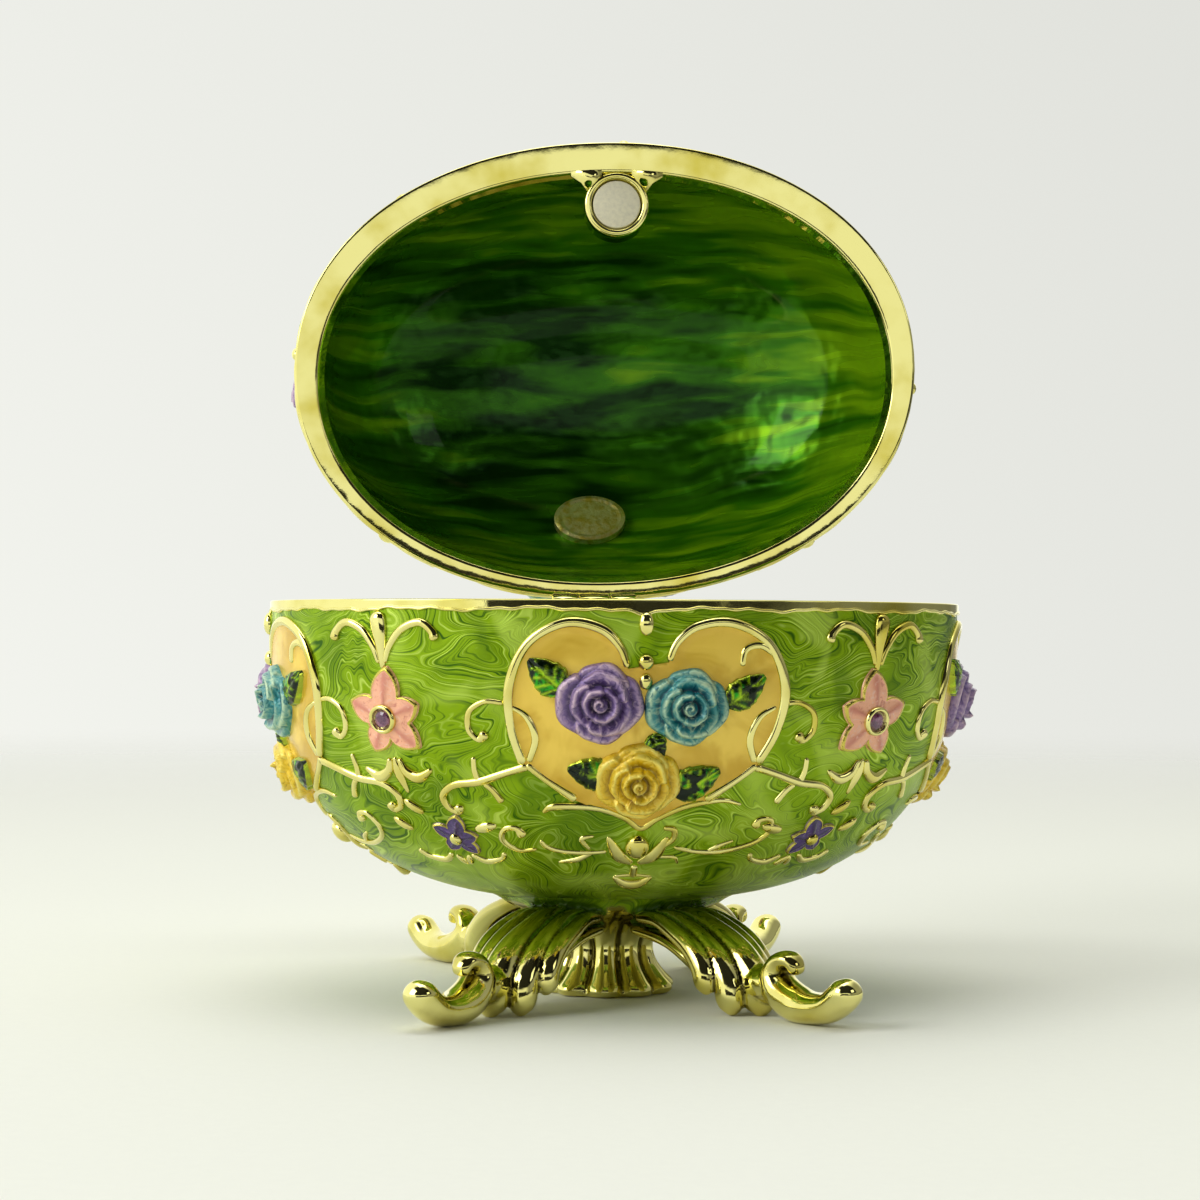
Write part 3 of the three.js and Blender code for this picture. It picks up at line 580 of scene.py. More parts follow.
def rose_relief(radius, turn):
    """Heights over a polar grid for an open rose, 0 to 1, with marks for its lips and its hollows."""
    r, angle = np.meshgrid(np.linspace(0, 1.06, 42), around(128) + turn, indexing="ij")
    layers = [  # (petals, inner reach, outer reach, height of the lip, depth of the cup, half width, phase)
        (4, 0.40, 1.00, 0.42, 0.24, 0.98, 0.0),
        (3, 0.22, 0.72, 0.74, 0.42, 1.22, 0.75),
        (2, 0.08, 0.42, 1.00, 0.52, 1.65, 0.2),
    ]
    best, lip, hollow = np.full(r.shape, -0.5), np.zeros(r.shape), np.ones(r.shape)
    for petals, inner, outer, top, cup, half_width, phase in layers:
        for i in range(petals):
            middle = phase + TURN * i / petals + 0.14 * math.sin(5.1 * i + 3 * phase)
            swing = (angle - middle + math.pi) % TURN - math.pi
            u = np.clip(swing / half_width, -1.4, 1.4)
            uneven = 0.95 + 0.07 * math.sin(3.7 * i + 2 * phase)
            reach = outer * (1 - 0.17 * u**2 + 0.02 * np.sin(8 * swing + 2 * i)) * uneven
            span = np.maximum(reach - inner, 0.05)
            v = (r - inner) / span
            dish = cup * np.clip(1 - v / 0.86, 0, 1.5) ** 1.1
            curl = 0.12 * np.clip((v - 0.84) / 0.16, 0, 1) ** 1.6
            height = top - dish - curl + 0.16 * u - 9.0 * span * np.clip(v - 1, 0, None)
            height = height - 3.0 * np.clip(np.abs(u) - 0.96, 0, None)
            wins = height > best
            best = np.where(wins, height, best)
            lip = np.where(wins, np.exp(-((v - 0.88) / 0.12) ** 2) * np.clip(0.75 + 0.9 * u, 0, 1), lip)
            hollow = np.where(wins, np.clip(dish / cup, 0, 1) ** 0.7, hollow)
    bud = np.sqrt(np.clip(1 - (r / 0.17) ** 2, 0, 1)) * 0.30 + 0.68
    wound = bud + 0.07 * np.sin(angle + 40 * r)
    inside = (r < 0.165) & (wound > best)
    lip = np.where(inside, np.clip(np.sin(angle + 40 * r), 0, 1), lip)
    hollow = np.where(inside, 0.4, hollow)
    best = np.maximum(np.where(inside, wound, best), -0.35)
    return r * radius * np.cos(angle), r * radius * np.sin(angle), best, lip, hollow


def add_rose(casting, half, girth, drop, radius, height, turn):
    x, y, relief, lip, hollow = rose_relief(radius, turn)
    place = half.patch(girth, drop, x, y * -half.up, relief * height)
    casting.add(place, turned(polar_faces(*x.shape), True), lip=lip, hollow=hollow)


def add_leaf(casting, half, girth, drop, direction, size, half_width):
    """A pointed, toothed leaf with a midrib and veins, growing from its place in a direction."""
    rows, columns = 34, 17
    s, t = np.meshgrid(np.linspace(0, 1, rows), np.linspace(-1, 1, columns), indexing="ij")
    teeth = 1 + 0.10 * (np.mod(5 * s, 1) - 0.5)
    width = half_width * np.sin(math.pi * np.clip(s, 0.015, 0.99) ** 0.8) ** 0.75 * teeth
    along = size * (s - 0.06 * np.abs(t) * np.sin(math.pi * s))
    turn = math.radians(direction)
    x = along * math.cos(turn) - width * t * math.sin(turn)
    y = along * math.sin(turn) + width * t * math.cos(turn)
    vein = np.exp(-((np.mod(5 * s - 1.5 * np.abs(t), 1) - 0.5) / 0.16) ** 2) * (np.abs(t) < 0.9)
    rib = np.exp(-((t / 0.13) ** 2))
    edge = np.exp(-(((np.abs(t) - 0.94) / 0.09) ** 2))
    height = 0.42 + 0.5 * (1 - t**2) * np.sin(math.pi * s) - 0.14 * rib + 0.06 * vein + 0.10 * edge
    border = (np.abs(t) > 0.999) | (s < 0.001) | (s > 0.999)
    height = np.where(border, -0.3, height)
    place = half.patch(girth, drop, x, y, height)
    veins = np.maximum(vein, rib) * (np.abs(t) < 0.97)
    casting.add(place, turned(grid_faces(rows, columns), half.up < 0), vein=veins, edge=edge)


def add_star(casting, half, girth, drop, petals, notch, height, flip=1):
    """A five-petalled star with a raised gold edge and a ridge down each petal."""
    r, angle = np.meshgrid(np.linspace(0, 1, 22), around(140), indexing="ij")
    reach, ridge = np.full(r.shape, notch), np.zeros(r.shape)
    for direction, size in petals:
        turn = math.radians(direction if flip > 0 else 180 - direction)
        swing = np.abs((angle - turn + math.pi) % TURN - math.pi) / math.radians(37)
        petal = notch + (size - notch) * np.clip(1 - swing, 0, 1) ** 0.72
        ridge = np.maximum(ridge, np.exp(-((swing / 0.22) ** 2)))
        reach = np.maximum(reach, petal)
    x, y = r * reach * np.cos(angle), r * reach * np.sin(angle)
    edge = np.exp(-(((r - 0.93) / 0.06) ** 2))
    relief = height * (1 - 0.35 * r) + 0.10 * ridge * r * (1 - r) * 4 + 0.09 * edge
    relief = np.where(r > 0.999, -0.3, relief)
    place = half.patch(girth, drop, x, y, relief)
    casting.add(place, turned(polar_faces(*r.shape), half.up < 0), edge=edge, ridge=ridge * (1 - edge))


# ---- shader nodes ------------------------------------------------------------------------------------

def arithmetic(operation, swapped=False):
    """A method that feeds a number and another into a maths node."""
    def method(self, other):
        inputs = {0: other, 1: self} if swapped else {0: self, 1: other}
        return self.finish.node("ShaderNodeMath", {"operation": operation}, inputs)

    return method


class Value:
    """A number coming out of a material's node, with Python's operators."""

    def __init__(self, finish, socket):
        self.finish, self.socket = finish, socket

    __add__ = __radd__ = arithmetic("ADD")
    __sub__ = arithmetic("SUBTRACT")
    __rsub__ = arithmetic("SUBTRACT", True)
    __mul__ = __rmul__ = arithmetic("MULTIPLY")
    greatest = arithmetic("MAXIMUM")

    def between(self, low, high):
        """0 below low, 1 above high, smooth between."""
        inputs = {"Value": self, "From Min": low, "From Max": high}
        return self.finish.node("ShaderNodeMapRange", {"interpolation_type": "SMOOTHSTEP"}, inputs)


class Graph:
    """A node tree that nodes are added to."""

    def __init__(self, owner):
        owner.use_nodes = True
        self.tree = owner.node_tree

    def node(self, kind, settings=None, inputs=None, output=0):
        made = self.tree.nodes.new(kind)
        for key, value in (settings or {}).items():
            if key == "stops":
                self.set_stops(made.color_ramp, value)
            else:
                setattr(made, key, value)
        for key, value in (inputs or {}).items():
            self.feed(made.inputs[key], value)
        return Value(self, made.outputs[output])

    def feed(self, socket, value):
        if isinstance(value, Value):
            self.tree.links.new(value.socket, socket)
        else:
            socket.default_value = value

    def part(self, vector, axis):
        """One coordinate of a vector."""
        return self.node("ShaderNodeSeparateXYZ", None, {"Vector": vector}, axis)

    @staticmethod
    def set_stops(ramp, stops):
        while len(ramp.elements) < len(stops):
            ramp.elements.new(1.0)
        for element, (place, colour) in zip(ramp.elements, stops):
            element.position = place
            element.color = (*colour, 1.0)


class Finish(Graph):
    """A material built round one Principled shader."""

    SOCKETS = {"colour": "Base Color", "rough": "Roughness", "metal": "Metallic", "coat": "Coat Weight",
               "coat_rough": "Coat Roughness", "normal": "Normal", "clear": "Transmission Weight",
               "ior": "IOR", "specular": "Specular IOR Level", "alpha": "Alpha"}

    def __init__(self, name):
        self.material = bpy.data.materials.new(name)
        super().__init__(self.material)
        self.shader = self.tree.nodes["Principled BSDF"]
        self.place = self.node("ShaderNodeTexCoord", output="Object")

    def noise(self, scale, detail=3.0, vector=None, roughness=0.5, distortion=0.0, output="Fac"):
        inputs = {"Vector": vector or self.place, "Scale": scale, "Detail": detail, "Roughness": roughness,
                  "Distortion": distortion}
        return self.node("ShaderNodeTexNoise", None, inputs, output)

    def vectors(self, operation, inputs, output=0):
        return self.node("ShaderNodeVectorMath", {"operation": operation}, inputs, output)

    def flat(self, x, y):
        """Flat coordinates to draw a pattern in."""
        return self.node("ShaderNodeCombineXYZ", None, {"X": x, "Y": y})

    def ramp(self, value, stops):
        return self.node("ShaderNodeValToRGB", {"stops": stops}, {"Fac": value})

    def mix(self, factor, a, b):
        """A colour between a and b; plain colours are given as red, green and blue."""
        made = self.tree.nodes.new("ShaderNodeMix")
        made.data_type = "RGBA"
        for name, value in (("Factor", factor), ("A", a), ("B", b)):
            wanted = "VALUE" if name == "Factor" else "RGBA"
            socket = next(s for s in made.inputs if s.name == name and s.type == wanted)
            self.feed(socket, value if isinstance(value, (Value, float)) else (*value, 1.0))
        return Value(self, next(s for s in made.outputs if s.type == "RGBA"))

    def mark(self, name):
        """A number stored on the mesh's points."""
        return self.node("ShaderNodeAttribute", {"attribute_name": name}, output="Fac")

    def bump(self, height, strength, distance):
        inputs = {"Height": height, "Strength": strength, "Distance": distance}
        return self.node("ShaderNodeBump", None, inputs)

    def set(self, **inputs):
        for key, value in inputs.items():
            self.feed(self.shader.inputs[self.SOCKETS[key]], value)
        return self.material


def marbled(finish):
    """Fine streaks folded into slow swirls, as in enamel drawn about before firing: 0 to 1."""
    place = finish.vectors("MULTIPLY", {0: finish.place, 1: (0.85, 0.85, 1.25)})
    place = warped(finish, place, 95.0, 0.019)
    place = warped(finish, place, 280.0, 0.0030)
    field = finish.noise(100.0, 0.0, place)
    along = finish.vectors("DOT_PRODUCT", {0: place, 1: (0.7, -0.6, 0.3)}, "Value")
    return finish.noise(1.0, 2.0, finish.flat(field * 90.0, along * 150.0), 0.6)


def warped(finish, place, scale, push):
    """Coordinates pushed about by a slow noise."""
    noise = finish.noise(scale, 1.0, place, output="Color")
    drift = finish.vectors("SUBTRACT", {0: noise, 1: (0.5, 0.5, 0.5)})
    return finish.vectors("ADD", {0: place, 1: finish.vectors("SCALE", {0: drift, "Scale": push})})


def pearl_enamel(colours):
    """The green outer enamel."""
    finish = Finish("Pearl green enamel")
    streak = marbled(finish)
    stops = [(0.36, colours.pearl_dark), (0.48, colours.pearl_middle), (0.56, colours.pearl_middle),
             (0.67, colours.pearl_light)]
    body = finish.ramp(streak, stops)
    broad = finish.noise(120.0, 2.0, distortion=0.8)
    # Painted sheen: broad pale patches. The broad dark patches are random tone.
    lit = finish.mix(broad.between(0.50, 0.68) * 0.55, body, colours.pearl_light)
    colour = finish.mix(broad.between(0.48, 0.32) * 0.45, lit, colours.pearl_dark)
    return finish.set(colour=colour, metal=0.45, rough=streak * 0.16 + 0.24, coat=0.08, coat_rough=0.05,
                      specular=0.14, normal=finish.bump(streak, 0.25, 0.0003))


def lining_enamel(colours):
    """The deep green lining, laid on in level brush strokes."""
    finish = Finish("Deep green lining")
    x = finish.part(finish.place, "X")
    deep = finish.mark("deep")
    drift = finish.noise(60.0, 2.0) - 0.5
    bent = (finish.mark("level") + drift * 0.22) * (2.0 - deep) * 9.0
    drawn = finish.flat(x * 95.0, bent)
    streak = finish.noise(1.0, 2.0, drawn, 0.42, 0.4)
    pool = finish.noise(0.34, 2.0, drawn)
    lumps = finish.noise(190.0, 2.0)
    # Lighter towards +X is painted light. The tone also darkens towards the deep middle.
    tone = streak * 0.50 + pool * 0.44 - deep.between(0.35, 0.95) * 0.15 + x * 1.9 + 0.14
    stops = [(0.40, colours.lining_dark), (0.54, colours.lining_middle), (0.70, colours.lining_light)]
    return finish.set(colour=finish.ramp(tone, stops), metal=0.45, rough=streak * 0.3 + 0.10, coat=0.13,
                      coat_rough=0.05, specular=0.1,
                      normal=finish.bump(streak * 0.10 + pool * 0.4 + lumps, 0.45, 0.0016))


def gold_parts(finish, colours):
    """The colour, roughness and relief of pale gold plating, uneven and pitted as plated castings are."""
    tone = finish.noise(160.0, 3.0)
    colour = finish.mix(tone.between(0.40, 0.75), colours.gold, colours.gold_deep)
    pits = finish.noise(2600.0, 2.0)
    waves = finish.noise(420.0, 1.0)
    return colour, tone * 0.07 + 0.04, finish.bump(waves * 0.9 + pits * 0.1, 0.13, 0.0003)


def polished_gold(colours):
    """The plating of the rims, wires, bezels and hinge, which share one material."""
    made = bpy.data.materials.get(POLISHED_GOLD)
    if made:
        return made
    finish = Finish(POLISHED_GOLD)
    colour, rough, normal = gold_parts(finish, colours)
    return finish.set(colour=colour, metal=1.0, rough=rough, normal=normal)


def worn_gold(colours):
    """Duller gold, rubbed and brushed."""
    finish = Finish("Worn gold")
    grain = finish.noise(1300.0, 3.0)
    colour = finish.mix(grain.between(0.35, 0.70), colours.gold, (0.62, 0.50, 0.05))
    return finish.set(colour=colour, metal=0.8, rough=grain * 0.2 + 0.22,
                      normal=finish.bump(grain, 0.35, 0.0004))


def cream_enamel(colours):
    """Glossy champagne enamel, deeper where it pools against the wire."""
    finish = Finish("Cream enamel")
    cloud = finish.noise(190.0, 3.0, distortion=0.8)
    body = finish.mix(cloud.between(0.40, 0.66) * 0.75, colours.cream, colours.cream_deep)
    colour = finish.mix(finish.mark("pool") * 0.9, body, colours.cream_deep)
    return finish.set(colour=colour, metal=0.3, rough=0.26, coat=0.3, coat_rough=0.05,
                      normal=finish.bump(cloud, 0.25, 0.0005))


def rose_enamel(name, colour, dark, light):
    """Enamel brushed over a cast rose, with painted highlights along the lips and painted shade in the
    hollows.
    """
    finish = Finish(name)
    streak = finish.noise(1100.0, 4.0, distortion=2.0)
    # Painted shade: darker in the hollows.
    deep = finish.mix(finish.mark("hollow").between(0.12, 0.72), colour, dark)
    brushed = finish.mix(streak.between(0.48, 0.75) * 0.55, deep, light)
    shaded = finish.mix(streak.between(0.50, 0.28) * 0.55, brushed, dark)
    # Painted highlights along the lips.
    lipped = finish.mix(finish.mark("lip") * streak.between(0.25, 0.55) * 0.95, shaded, light)
    return finish.set(colour=lipped, metal=0.25, rough=streak * 0.2 + 0.22, coat=0.3, coat_rough=0.10,
                      normal=finish.bump(streak, 0.4, 0.0004))


def leaf_enamel(colours):
    """Dark green enamel between lime veins and gold edges."""
    finish = Finish("Leaf enamel")
    patch = finish.noise(800.0, 3.0, distortion=1.0)
    body = finish.mix(patch.between(0.46, 0.70), (0.0005, 0.008, 0.0005), colours.leaf)
    # Painted highlights: bright green patches on the dark body.
    bright = finish.mix(patch.between(0.58, 0.68), body, (0.01, 0.36, 0.005))
    veined = finish.mix(finish.mark("vein") * patch.between(0.42, 0.60) * 0.9, bright, colours.leaf_vein)
    edge = finish.mark("edge")
    colour = finish.mix(edge * 0.95, veined, (0.62, 0.72, 0.04))
    return finish.set(colour=colour, metal=edge * 0.3 + 0.6, rough=0.22, coat=0.2, coat_rough=0.06,
                      normal=finish.bump(finish.noise(1500.0, 2.0), 0.3, 0.0003))


def star_enamel(name, colour, dark, light, colours):
    """Thin enamel over a star flower, with its gold edge left bare."""
    finish = Finish(name)
    streak = finish.noise(1200.0, 3.0, distortion=1.6)
    darkened = finish.mark("ridge").greatest(streak.between(0.47, 0.27)) * 0.75
    body = finish.mix(darkened, colour, dark)
    pale = finish.mix(streak.between(0.55, 0.75) * 0.6, body, light)
    edge = finish.mark("edge").between(0.45, 0.85)
    edged = finish.mix(edge, pale, colours.gold_deep)
    return finish.set(colour=edged, metal=edge * 0.95, rough=0.26 - edge * 0.12, coat=0.5, coat_rough=0.08,
                      normal=finish.bump(streak, 0.3, 0.0003))


def cut_crystal(colours):
    """A clear violet stone, see-through by its plain transmission."""
    finish = Finish("Violet crystal")
    tone = finish.noise(1700.0, 1.0)
    colour = finish.mix(tone.between(0.42, 0.58), colours.crystal, (0.16, 0.035, 0.20))
    return finish.set(colour=colour, rough=0.02, clear=0.75, ior=1.62, coat=1.0, coat_rough=0.02)


def magnet_metal(colours):
    """Dull nickel on the magnet's face."""
    finish = Finish("Magnet face")
    grain = finish.noise(2400.0, 3.0)
    colour = finish.mix(grain.between(0.3, 0.8) * 0.3, colours.magnet, (0.45, 0.43, 0.36))
    return finish.set(colour=colour, metal=0.35, rough=grain * 0.15 + 0.42,
                      normal=finish.bump(grain, 0.1, 0.0002))


def stand_metal(colours):
    """Gold, under green enamel where it runs down from the egg over the stand's shoulders."""
    finish = Finish("Gold with enamel run")
    height = finish.part(finish.place, "Z")
    ragged = finish.noise(380.0, 3.0)
    groove = finish.mark("groove")
    cover = (height + (ragged - 0.5) * 0.0026 + groove * 0.010).between(0.0084, 0.0091)
    streak = marbled(finish)
    stops = [(0.3, colours.pearl_dark), (0.6, colours.pearl_middle), (0.8, colours.pearl_light)]
    green = finish.ramp(streak, stops)
    metal, rough, normal = gold_parts(finish, colours)
    # Painted shade: the gold darkens towards the top of the stand, under the bowl.
    shaded_under_bowl = finish.mix(height.between(0.0035, 0.0080) * 0.50, metal, (0.20, 0.17, 0.012))
    # Painted shade: the gold darkens in the grooves between the ribs and flutes.
    darkened = finish.mix(groove.between(0.02, 0.16) * 0.92, shaded_under_bowl, (0.06, 0.045, 0.002))
    # Painted shade: the green enamel darkens in the grooves too.
    green = finish.mix(groove.between(0.02, 0.14) * 0.8, green, (0.02, 0.07, 0.001))
    return finish.set(colour=finish.mix(cover, darkened, green), metal=1.0 - cover * 0.9,
                      rough=cover * 0.16 + rough, coat=cover * 0.1, coat_rough=0.05, specular=0.3,
                      normal=normal)


# ---- operators ---------------------------------------------------------------------------------------

class EggOperator:
    """What every operator of the box shares: the egg it dresses and its colours."""

    bl_options = {"REGISTER", "UNDO"}

    @property
    def egg(self):
        return Egg(bpy.context.scene.egg_sizes)

    @property
    def colours(self):
        return bpy.context.scene.egg_colours


ENAMEL_EDGE = 0.35  # how far the enamel stops short of the rim
OUTER_RINGS, LINING_RINGS = 74, 44
HINGE_ROOM = (1.4, 10.2)  # radius and length of the room for the hinge


class EGG_OT_shells(EggOperator, bpy.types.Operator):
    """Enamelled walls of the bowl and the lid"""

    bl_idname = "egg.shells"
    bl_label = "Shells"

    def execute(self, context):
        egg = self.egg
        s = egg.sizes
        outer = pearl_enamel(self.colours)
        inner = lining_enamel(self.colours)
        girths = np.linspace(0, egg.outline.girth, s.facets, endpoint=False)
        for body, half in egg.halves.items():
            end = half.run[-1] * 0.995
            if body == "bowl":
                end = np.interp(s.bowl_depth - 0.5, half.fall, half.run)
            rings = [half.on(girths, drop) for drop in (ENAMEL_EDGE, *np.linspace(1.0, end, OUTER_RINGS))]
            lining = s.facets * len(rings)  # the lining's first point
            power, depth = 2 / half.power, half.depth - s.wall
            for angle in np.linspace(math.radians(88), math.radians(4), LINING_RINGS):
                rings.append(half.opening(girths, math.cos(angle) ** power, depth * math.sin(angle) ** power))
            rings.append(half.opening(girths, 1.0, ENAMEL_EDGE))
            faces = tube_faces(len(rings), s.facets, True)
            faces = faces[:lining - s.facets] + faces[lining:]
            faces.append(tuple(range(lining - s.facets, lining)))
            faces.append(tuple(range(lining, lining + s.facets))[::-1])
            points = np.concatenate(rings)
            casting = Casting(egg, body)
            casting.add(points, turned(faces, half.up < 0), deep=np.abs(points[:, 2] - half.rim) / half.depth,
                        level=points[:, 1] / s.mouth_half_width)
            piece = casting.build(f"{body}_enamel", "enamel", outer)
            piece.data.materials.append(inner)
            inside = [int(min(face.vertices) >= lining) for face in piece.data.polygons]
            piece.data.polygons.foreach_set("material_index", inside)
            self.cut_hinge(egg, piece)
            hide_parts(f"{body}_shell")
        return {"FINISHED"}

    @staticmethod
    def cut_hinge(egg, piece):
        """Room in the wall for the hinge's barrel."""
        cutter = add_cylinder("hinge_room", 48, *HINGE_ROOM)
        to_axis = Vector((0, 0, 1)).rotation_difference(Vector(egg.hinge_axis))
        cutter.data.transform(Matrix.Translation(egg.hinge_place * MM) @ to_axis.to_matrix().to_4x4())
        room = piece.modifiers.new("Hinge room", "BOOLEAN")
        room.operation, room.object, room.solver = "DIFFERENCE", cutter, "EXACT"
        bpy.context.view_layer.objects.active = piece
        bpy.ops.object.modifier_apply(modifier=room.name)
        bpy.data.objects.remove(cutter)


RIM_STEPS = 540
RIM_WAVES = ((0.10, 0.53, 0), (0.07, 1.31, 1), (0.05, 2.9, 2))  # (height, pace along the girth, start)
# The rim's section: (drop past its wavy foot, height), (outwards from the edge, fall below it), and
# (scale of the opening, fall below the edge, share of the waves).
RIM_LIP = ((0.03, -0.25), (0.01, 0.02), (-0.04, 0.17), (-0.13, 0.26), (-0.24, 0.24), (-0.30, 0.125))
RIM_EDGE = ((0.11, 0.07), (0.04, 0.02), (-0.16, 0.0))
RIM_MOUTH = ((1.012, 0.0, 0), (1.002, 0.04, 0), (0.997, 0.12, 0), (0.996, 0.32, 0.4), (0.975, 0.5, 0.4))
# One shoulder of a magnet's socket, as (sideways, inwards) from the magnet's centre.
SHOULDER = [(4.9, -3.9), (4.9, -2.95), (3.8, -2.25), (3.2, -1.4), (2.3, -2.3), (1.6, -3.2), (1.6, -3.9)]


class EGG_OT_rims(EggOperator, bpy.types.Operator):
    """Gold rims with rounded edges, and the magnets' sockets cast with them"""

    bl_idname = "egg.rims"
    bl_label = "Rims"

    def execute(self, context):
        egg = self.egg
        whole = egg.outline.girth
        girths = np.linspace(0, whole, RIM_STEPS, endpoint=False)
        wave = sum(height * np.sin(girths * pace + start) for height, pace, start in RIM_WAVES)
        notch = sum(0.5 * np.exp(-(((girths - m + 4) % whole - 4) / 0.9) ** 2) for m in egg.medallions)
        foot = 1.05 + wave + notch
        for body, half in egg.halves.items():
            rows = [half.wrap(girths, foot + drop, height) for drop, height in RIM_LIP]
            rows += [half.wrap(girths, drop, 0.135 - 0.026 * drop)
                     for drop in (foot - 0.30, foot - 0.34, foot * 0.4, 0.16, 0.12)]
            edge, _, _, out = half.axes(girths, 0.0)
            for outwards, fall in RIM_EDGE:
                row = edge + out * outwards
                row[:, 2] = half.rim + half.up * fall
                rows.append(row)
            rows += [half.opening(girths, scale, fall + drift * wave) for scale, fall, drift in RIM_MOUTH]
            casting = Casting(egg, body)
            casting.add(np.concatenate(rows), turned(tube_faces(len(rows), RIM_STEPS, True), half.up < 0))
            self.add_socket(casting, egg.sizes, half)
            casting.build(f"{body}_rim", "gold", polished_gold(self.colours))
        return {"FINISHED"}

    @staticmethod
    def add_socket(casting, s, half):
        """A round cup for the magnet, with two small shoulders where it grows out of the rim."""
        centre, inward = magnet_place(s, half)
        outer, inner = s.socket_radius, s.magnet_radius
        profile = [(outer, 4.2), (outer, 0.35), (outer - 0.12, 0.08), (outer - 0.3, 0.0), (inner + 0.32, 0.0),
                   (inner + 0.18, 0.1), (inner + 0.16, 1.9), (0.05, 1.9)]

        def place(x, y, fall):
            return np.stack([centre[0] + x, centre[1] + y, half.rim + half.up * fall], 1)

        add_lathe(casting, profile, 72, place, half.up < 0)
        across = np.cross([0, 0, 1.0], inward)
        for side in (1, -1):
            plate = np.array([centre + across * a * side + inward * b for a, b in SHOULDER])
            levels = [plate * [1, 1, 0] + [0, 0, half.rim + half.up * fall] for fall in (0.01, 0.9)]
            casting.add(np.concatenate(levels), turned(tube_faces(2, len(SHOULDER)), side * half.up > 0))


def magnet_place(s, half):
    """Centre of the magnet on the rim's plane, and the direction from the front edge to it."""
    edge, _, _, out = half.axes(s.magnet_girth, 0.0)
    inward = unit(-out * [1, 1, 0])
    return edge + inward * s.magnet_inset, inward


class EGG_OT_scrolls(EggOperator, bpy.types.Operator):
    """Raised gold wires: heart frames, scrolls, vines, stems and beads"""

    bl_idname = "egg.scrolls"
    bl_label = "Scrolls"

    def execute(self, context):
        egg = self.egg
        for body, half in egg.halves.items():
            casting, full = Casting(egg, body), body == "bowl"
            for centre in egg.medallions:
                add_medallion_wires(casting, half, centre, full)
            for girth, flip, _ in egg.flowers:
                add_flower_wires(casting, half, girth, flip, full)
            casting.build(f"{body}_scrolls", "gold", polished_gold(self.colours))
        return {"FINISHED"}


class EGG_OT_fields(EggOperator, bpy.types.Operator):
    """Cream enamel fields of the medallions"""

    bl_idname = "egg.fields"
    bl_label = "Medallion fields"

    def execute(self, context):
        egg = self.egg
        finish = cream_enamel(self.colours)
        for body, half in egg.halves.items():
            casting = Casting(egg, body)
            for centre in egg.medallions:
                add_field(casting, half, centre)
            casting.build(f"{body}_medallion_fields", "enamel", finish)
        return {"FINISHED"}


class EGG_OT_roses(EggOperator, bpy.types.Operator):
    """Cast roses, one of each colour in every medallion"""

    bl_idname = "egg.roses"
    bl_label = "Roses"

    def execute(self, context):
        egg = self.egg
        s, c = egg.sizes, self.colours
        finishes = {
            "violet": rose_enamel("Violet rose", c.violet, (0.012, 0.003, 0.030), (0.66, 0.48, 0.58)),
            "teal": rose_enamel("Teal rose", c.teal, (0.0003, 0.024, 0.055), (0.54, 0.70, 0.44)),
            "yellow": rose_enamel("Yellow rose", c.yellow, (0.24, 0.14, 0.001), (0.86, 0.74, 0.15)),
        }
        for body, half in egg.halves.items():
            for colour, girth, drop, size, turn in ROSES:
                casting, radius = Casting(egg, body), s.rose_radius * size
                for i, centre in enumerate(egg.medallions):
                    add_rose(casting, half, centre + girth, drop, radius, s.rose_height, turn + 1.3 * i)
                casting.build(f"{body}_roses_{colour}", "enamel", finishes[colour])
        return {"FINISHED"}


class EGG_OT_leaves(EggOperator, bpy.types.Operator):
    """Toothed leaves round the roses"""

    bl_idname = "egg.leaves"
    bl_label = "Leaves"

    def execute(self, context):
        egg = self.egg
        finish = leaf_enamel(self.colours)
        for body, half in egg.halves.items():
            casting = Casting(egg, body)
            for centre in egg.medallions:
                for girth, *leaf in LEAVES:
                    add_leaf(casting, half, centre + girth, *leaf)
            casting.build(f"{body}_leaves", "enamel", finish)
        return {"FINISHED"}


class EGG_OT_stars(EggOperator, bpy.types.Operator):
    """Pink star flowers, and small plum stars under them"""

    bl_idname = "egg.stars"
    bl_label = "Star flowers"

    def execute(self, context):
        egg = self.egg
        s, c = egg.sizes, self.colours
        pink = star_enamel("Pink star", c.pink, (0.60, 0.17, 0.12), (0.94, 0.62, 0.50), c)
        plum = star_enamel("Plum star", c.plum, (0.02, 0.008, 0.05), (0.22, 0.12, 0.42), c)
        petals = [(direction + 14, size * 0.58) for direction, size in STAR_PETALS]
        along, drop = SMALL_STAR
        for body, half in egg.halves.items():
            flowers, small, settings = (Casting(egg, body) for _ in range(3))
            for girth, flip, medallion in egg.flowers:
                add_star(flowers, half, girth, s.flower_drop, STAR_PETALS, 2.0, 0.62, flip)
                self.add_bezel(settings, half, girth, s)
                centre = medallion - flip * along
                add_star(small, half, centre, drop, petals, 1.15, 0.4, flip)
                add_bead(settings, half, centre, drop, 0.55, 1.1, 0.8)
            flowers.build(f"{body}_star_flowers", "enamel", pink)
            small.build(f"{body}_small_stars", "enamel", plum)
            settings.build(f"{body}_bezels", "gold", polished_gold(c))
        return {"FINISHED"}

    @staticmethod
    def add_bezel(casting, half, girth, s):
        """The round gold collar that holds a crystal."""
        r = s.crystal_radius
        profile = [(r + 0.42, -0.2), (r + 0.40, 0.7), (r + 0.30, 0.98), (r + 0.12, 1.02), (r + 0.01, 0.9),
                   (r - 0.02, 0.5), (0.05, 0.45)]
        add_lathe(casting, profile, 40, lambda x, y, height: half.patch(girth, s.flower_drop, x, y, height),
                  half.up > 0)


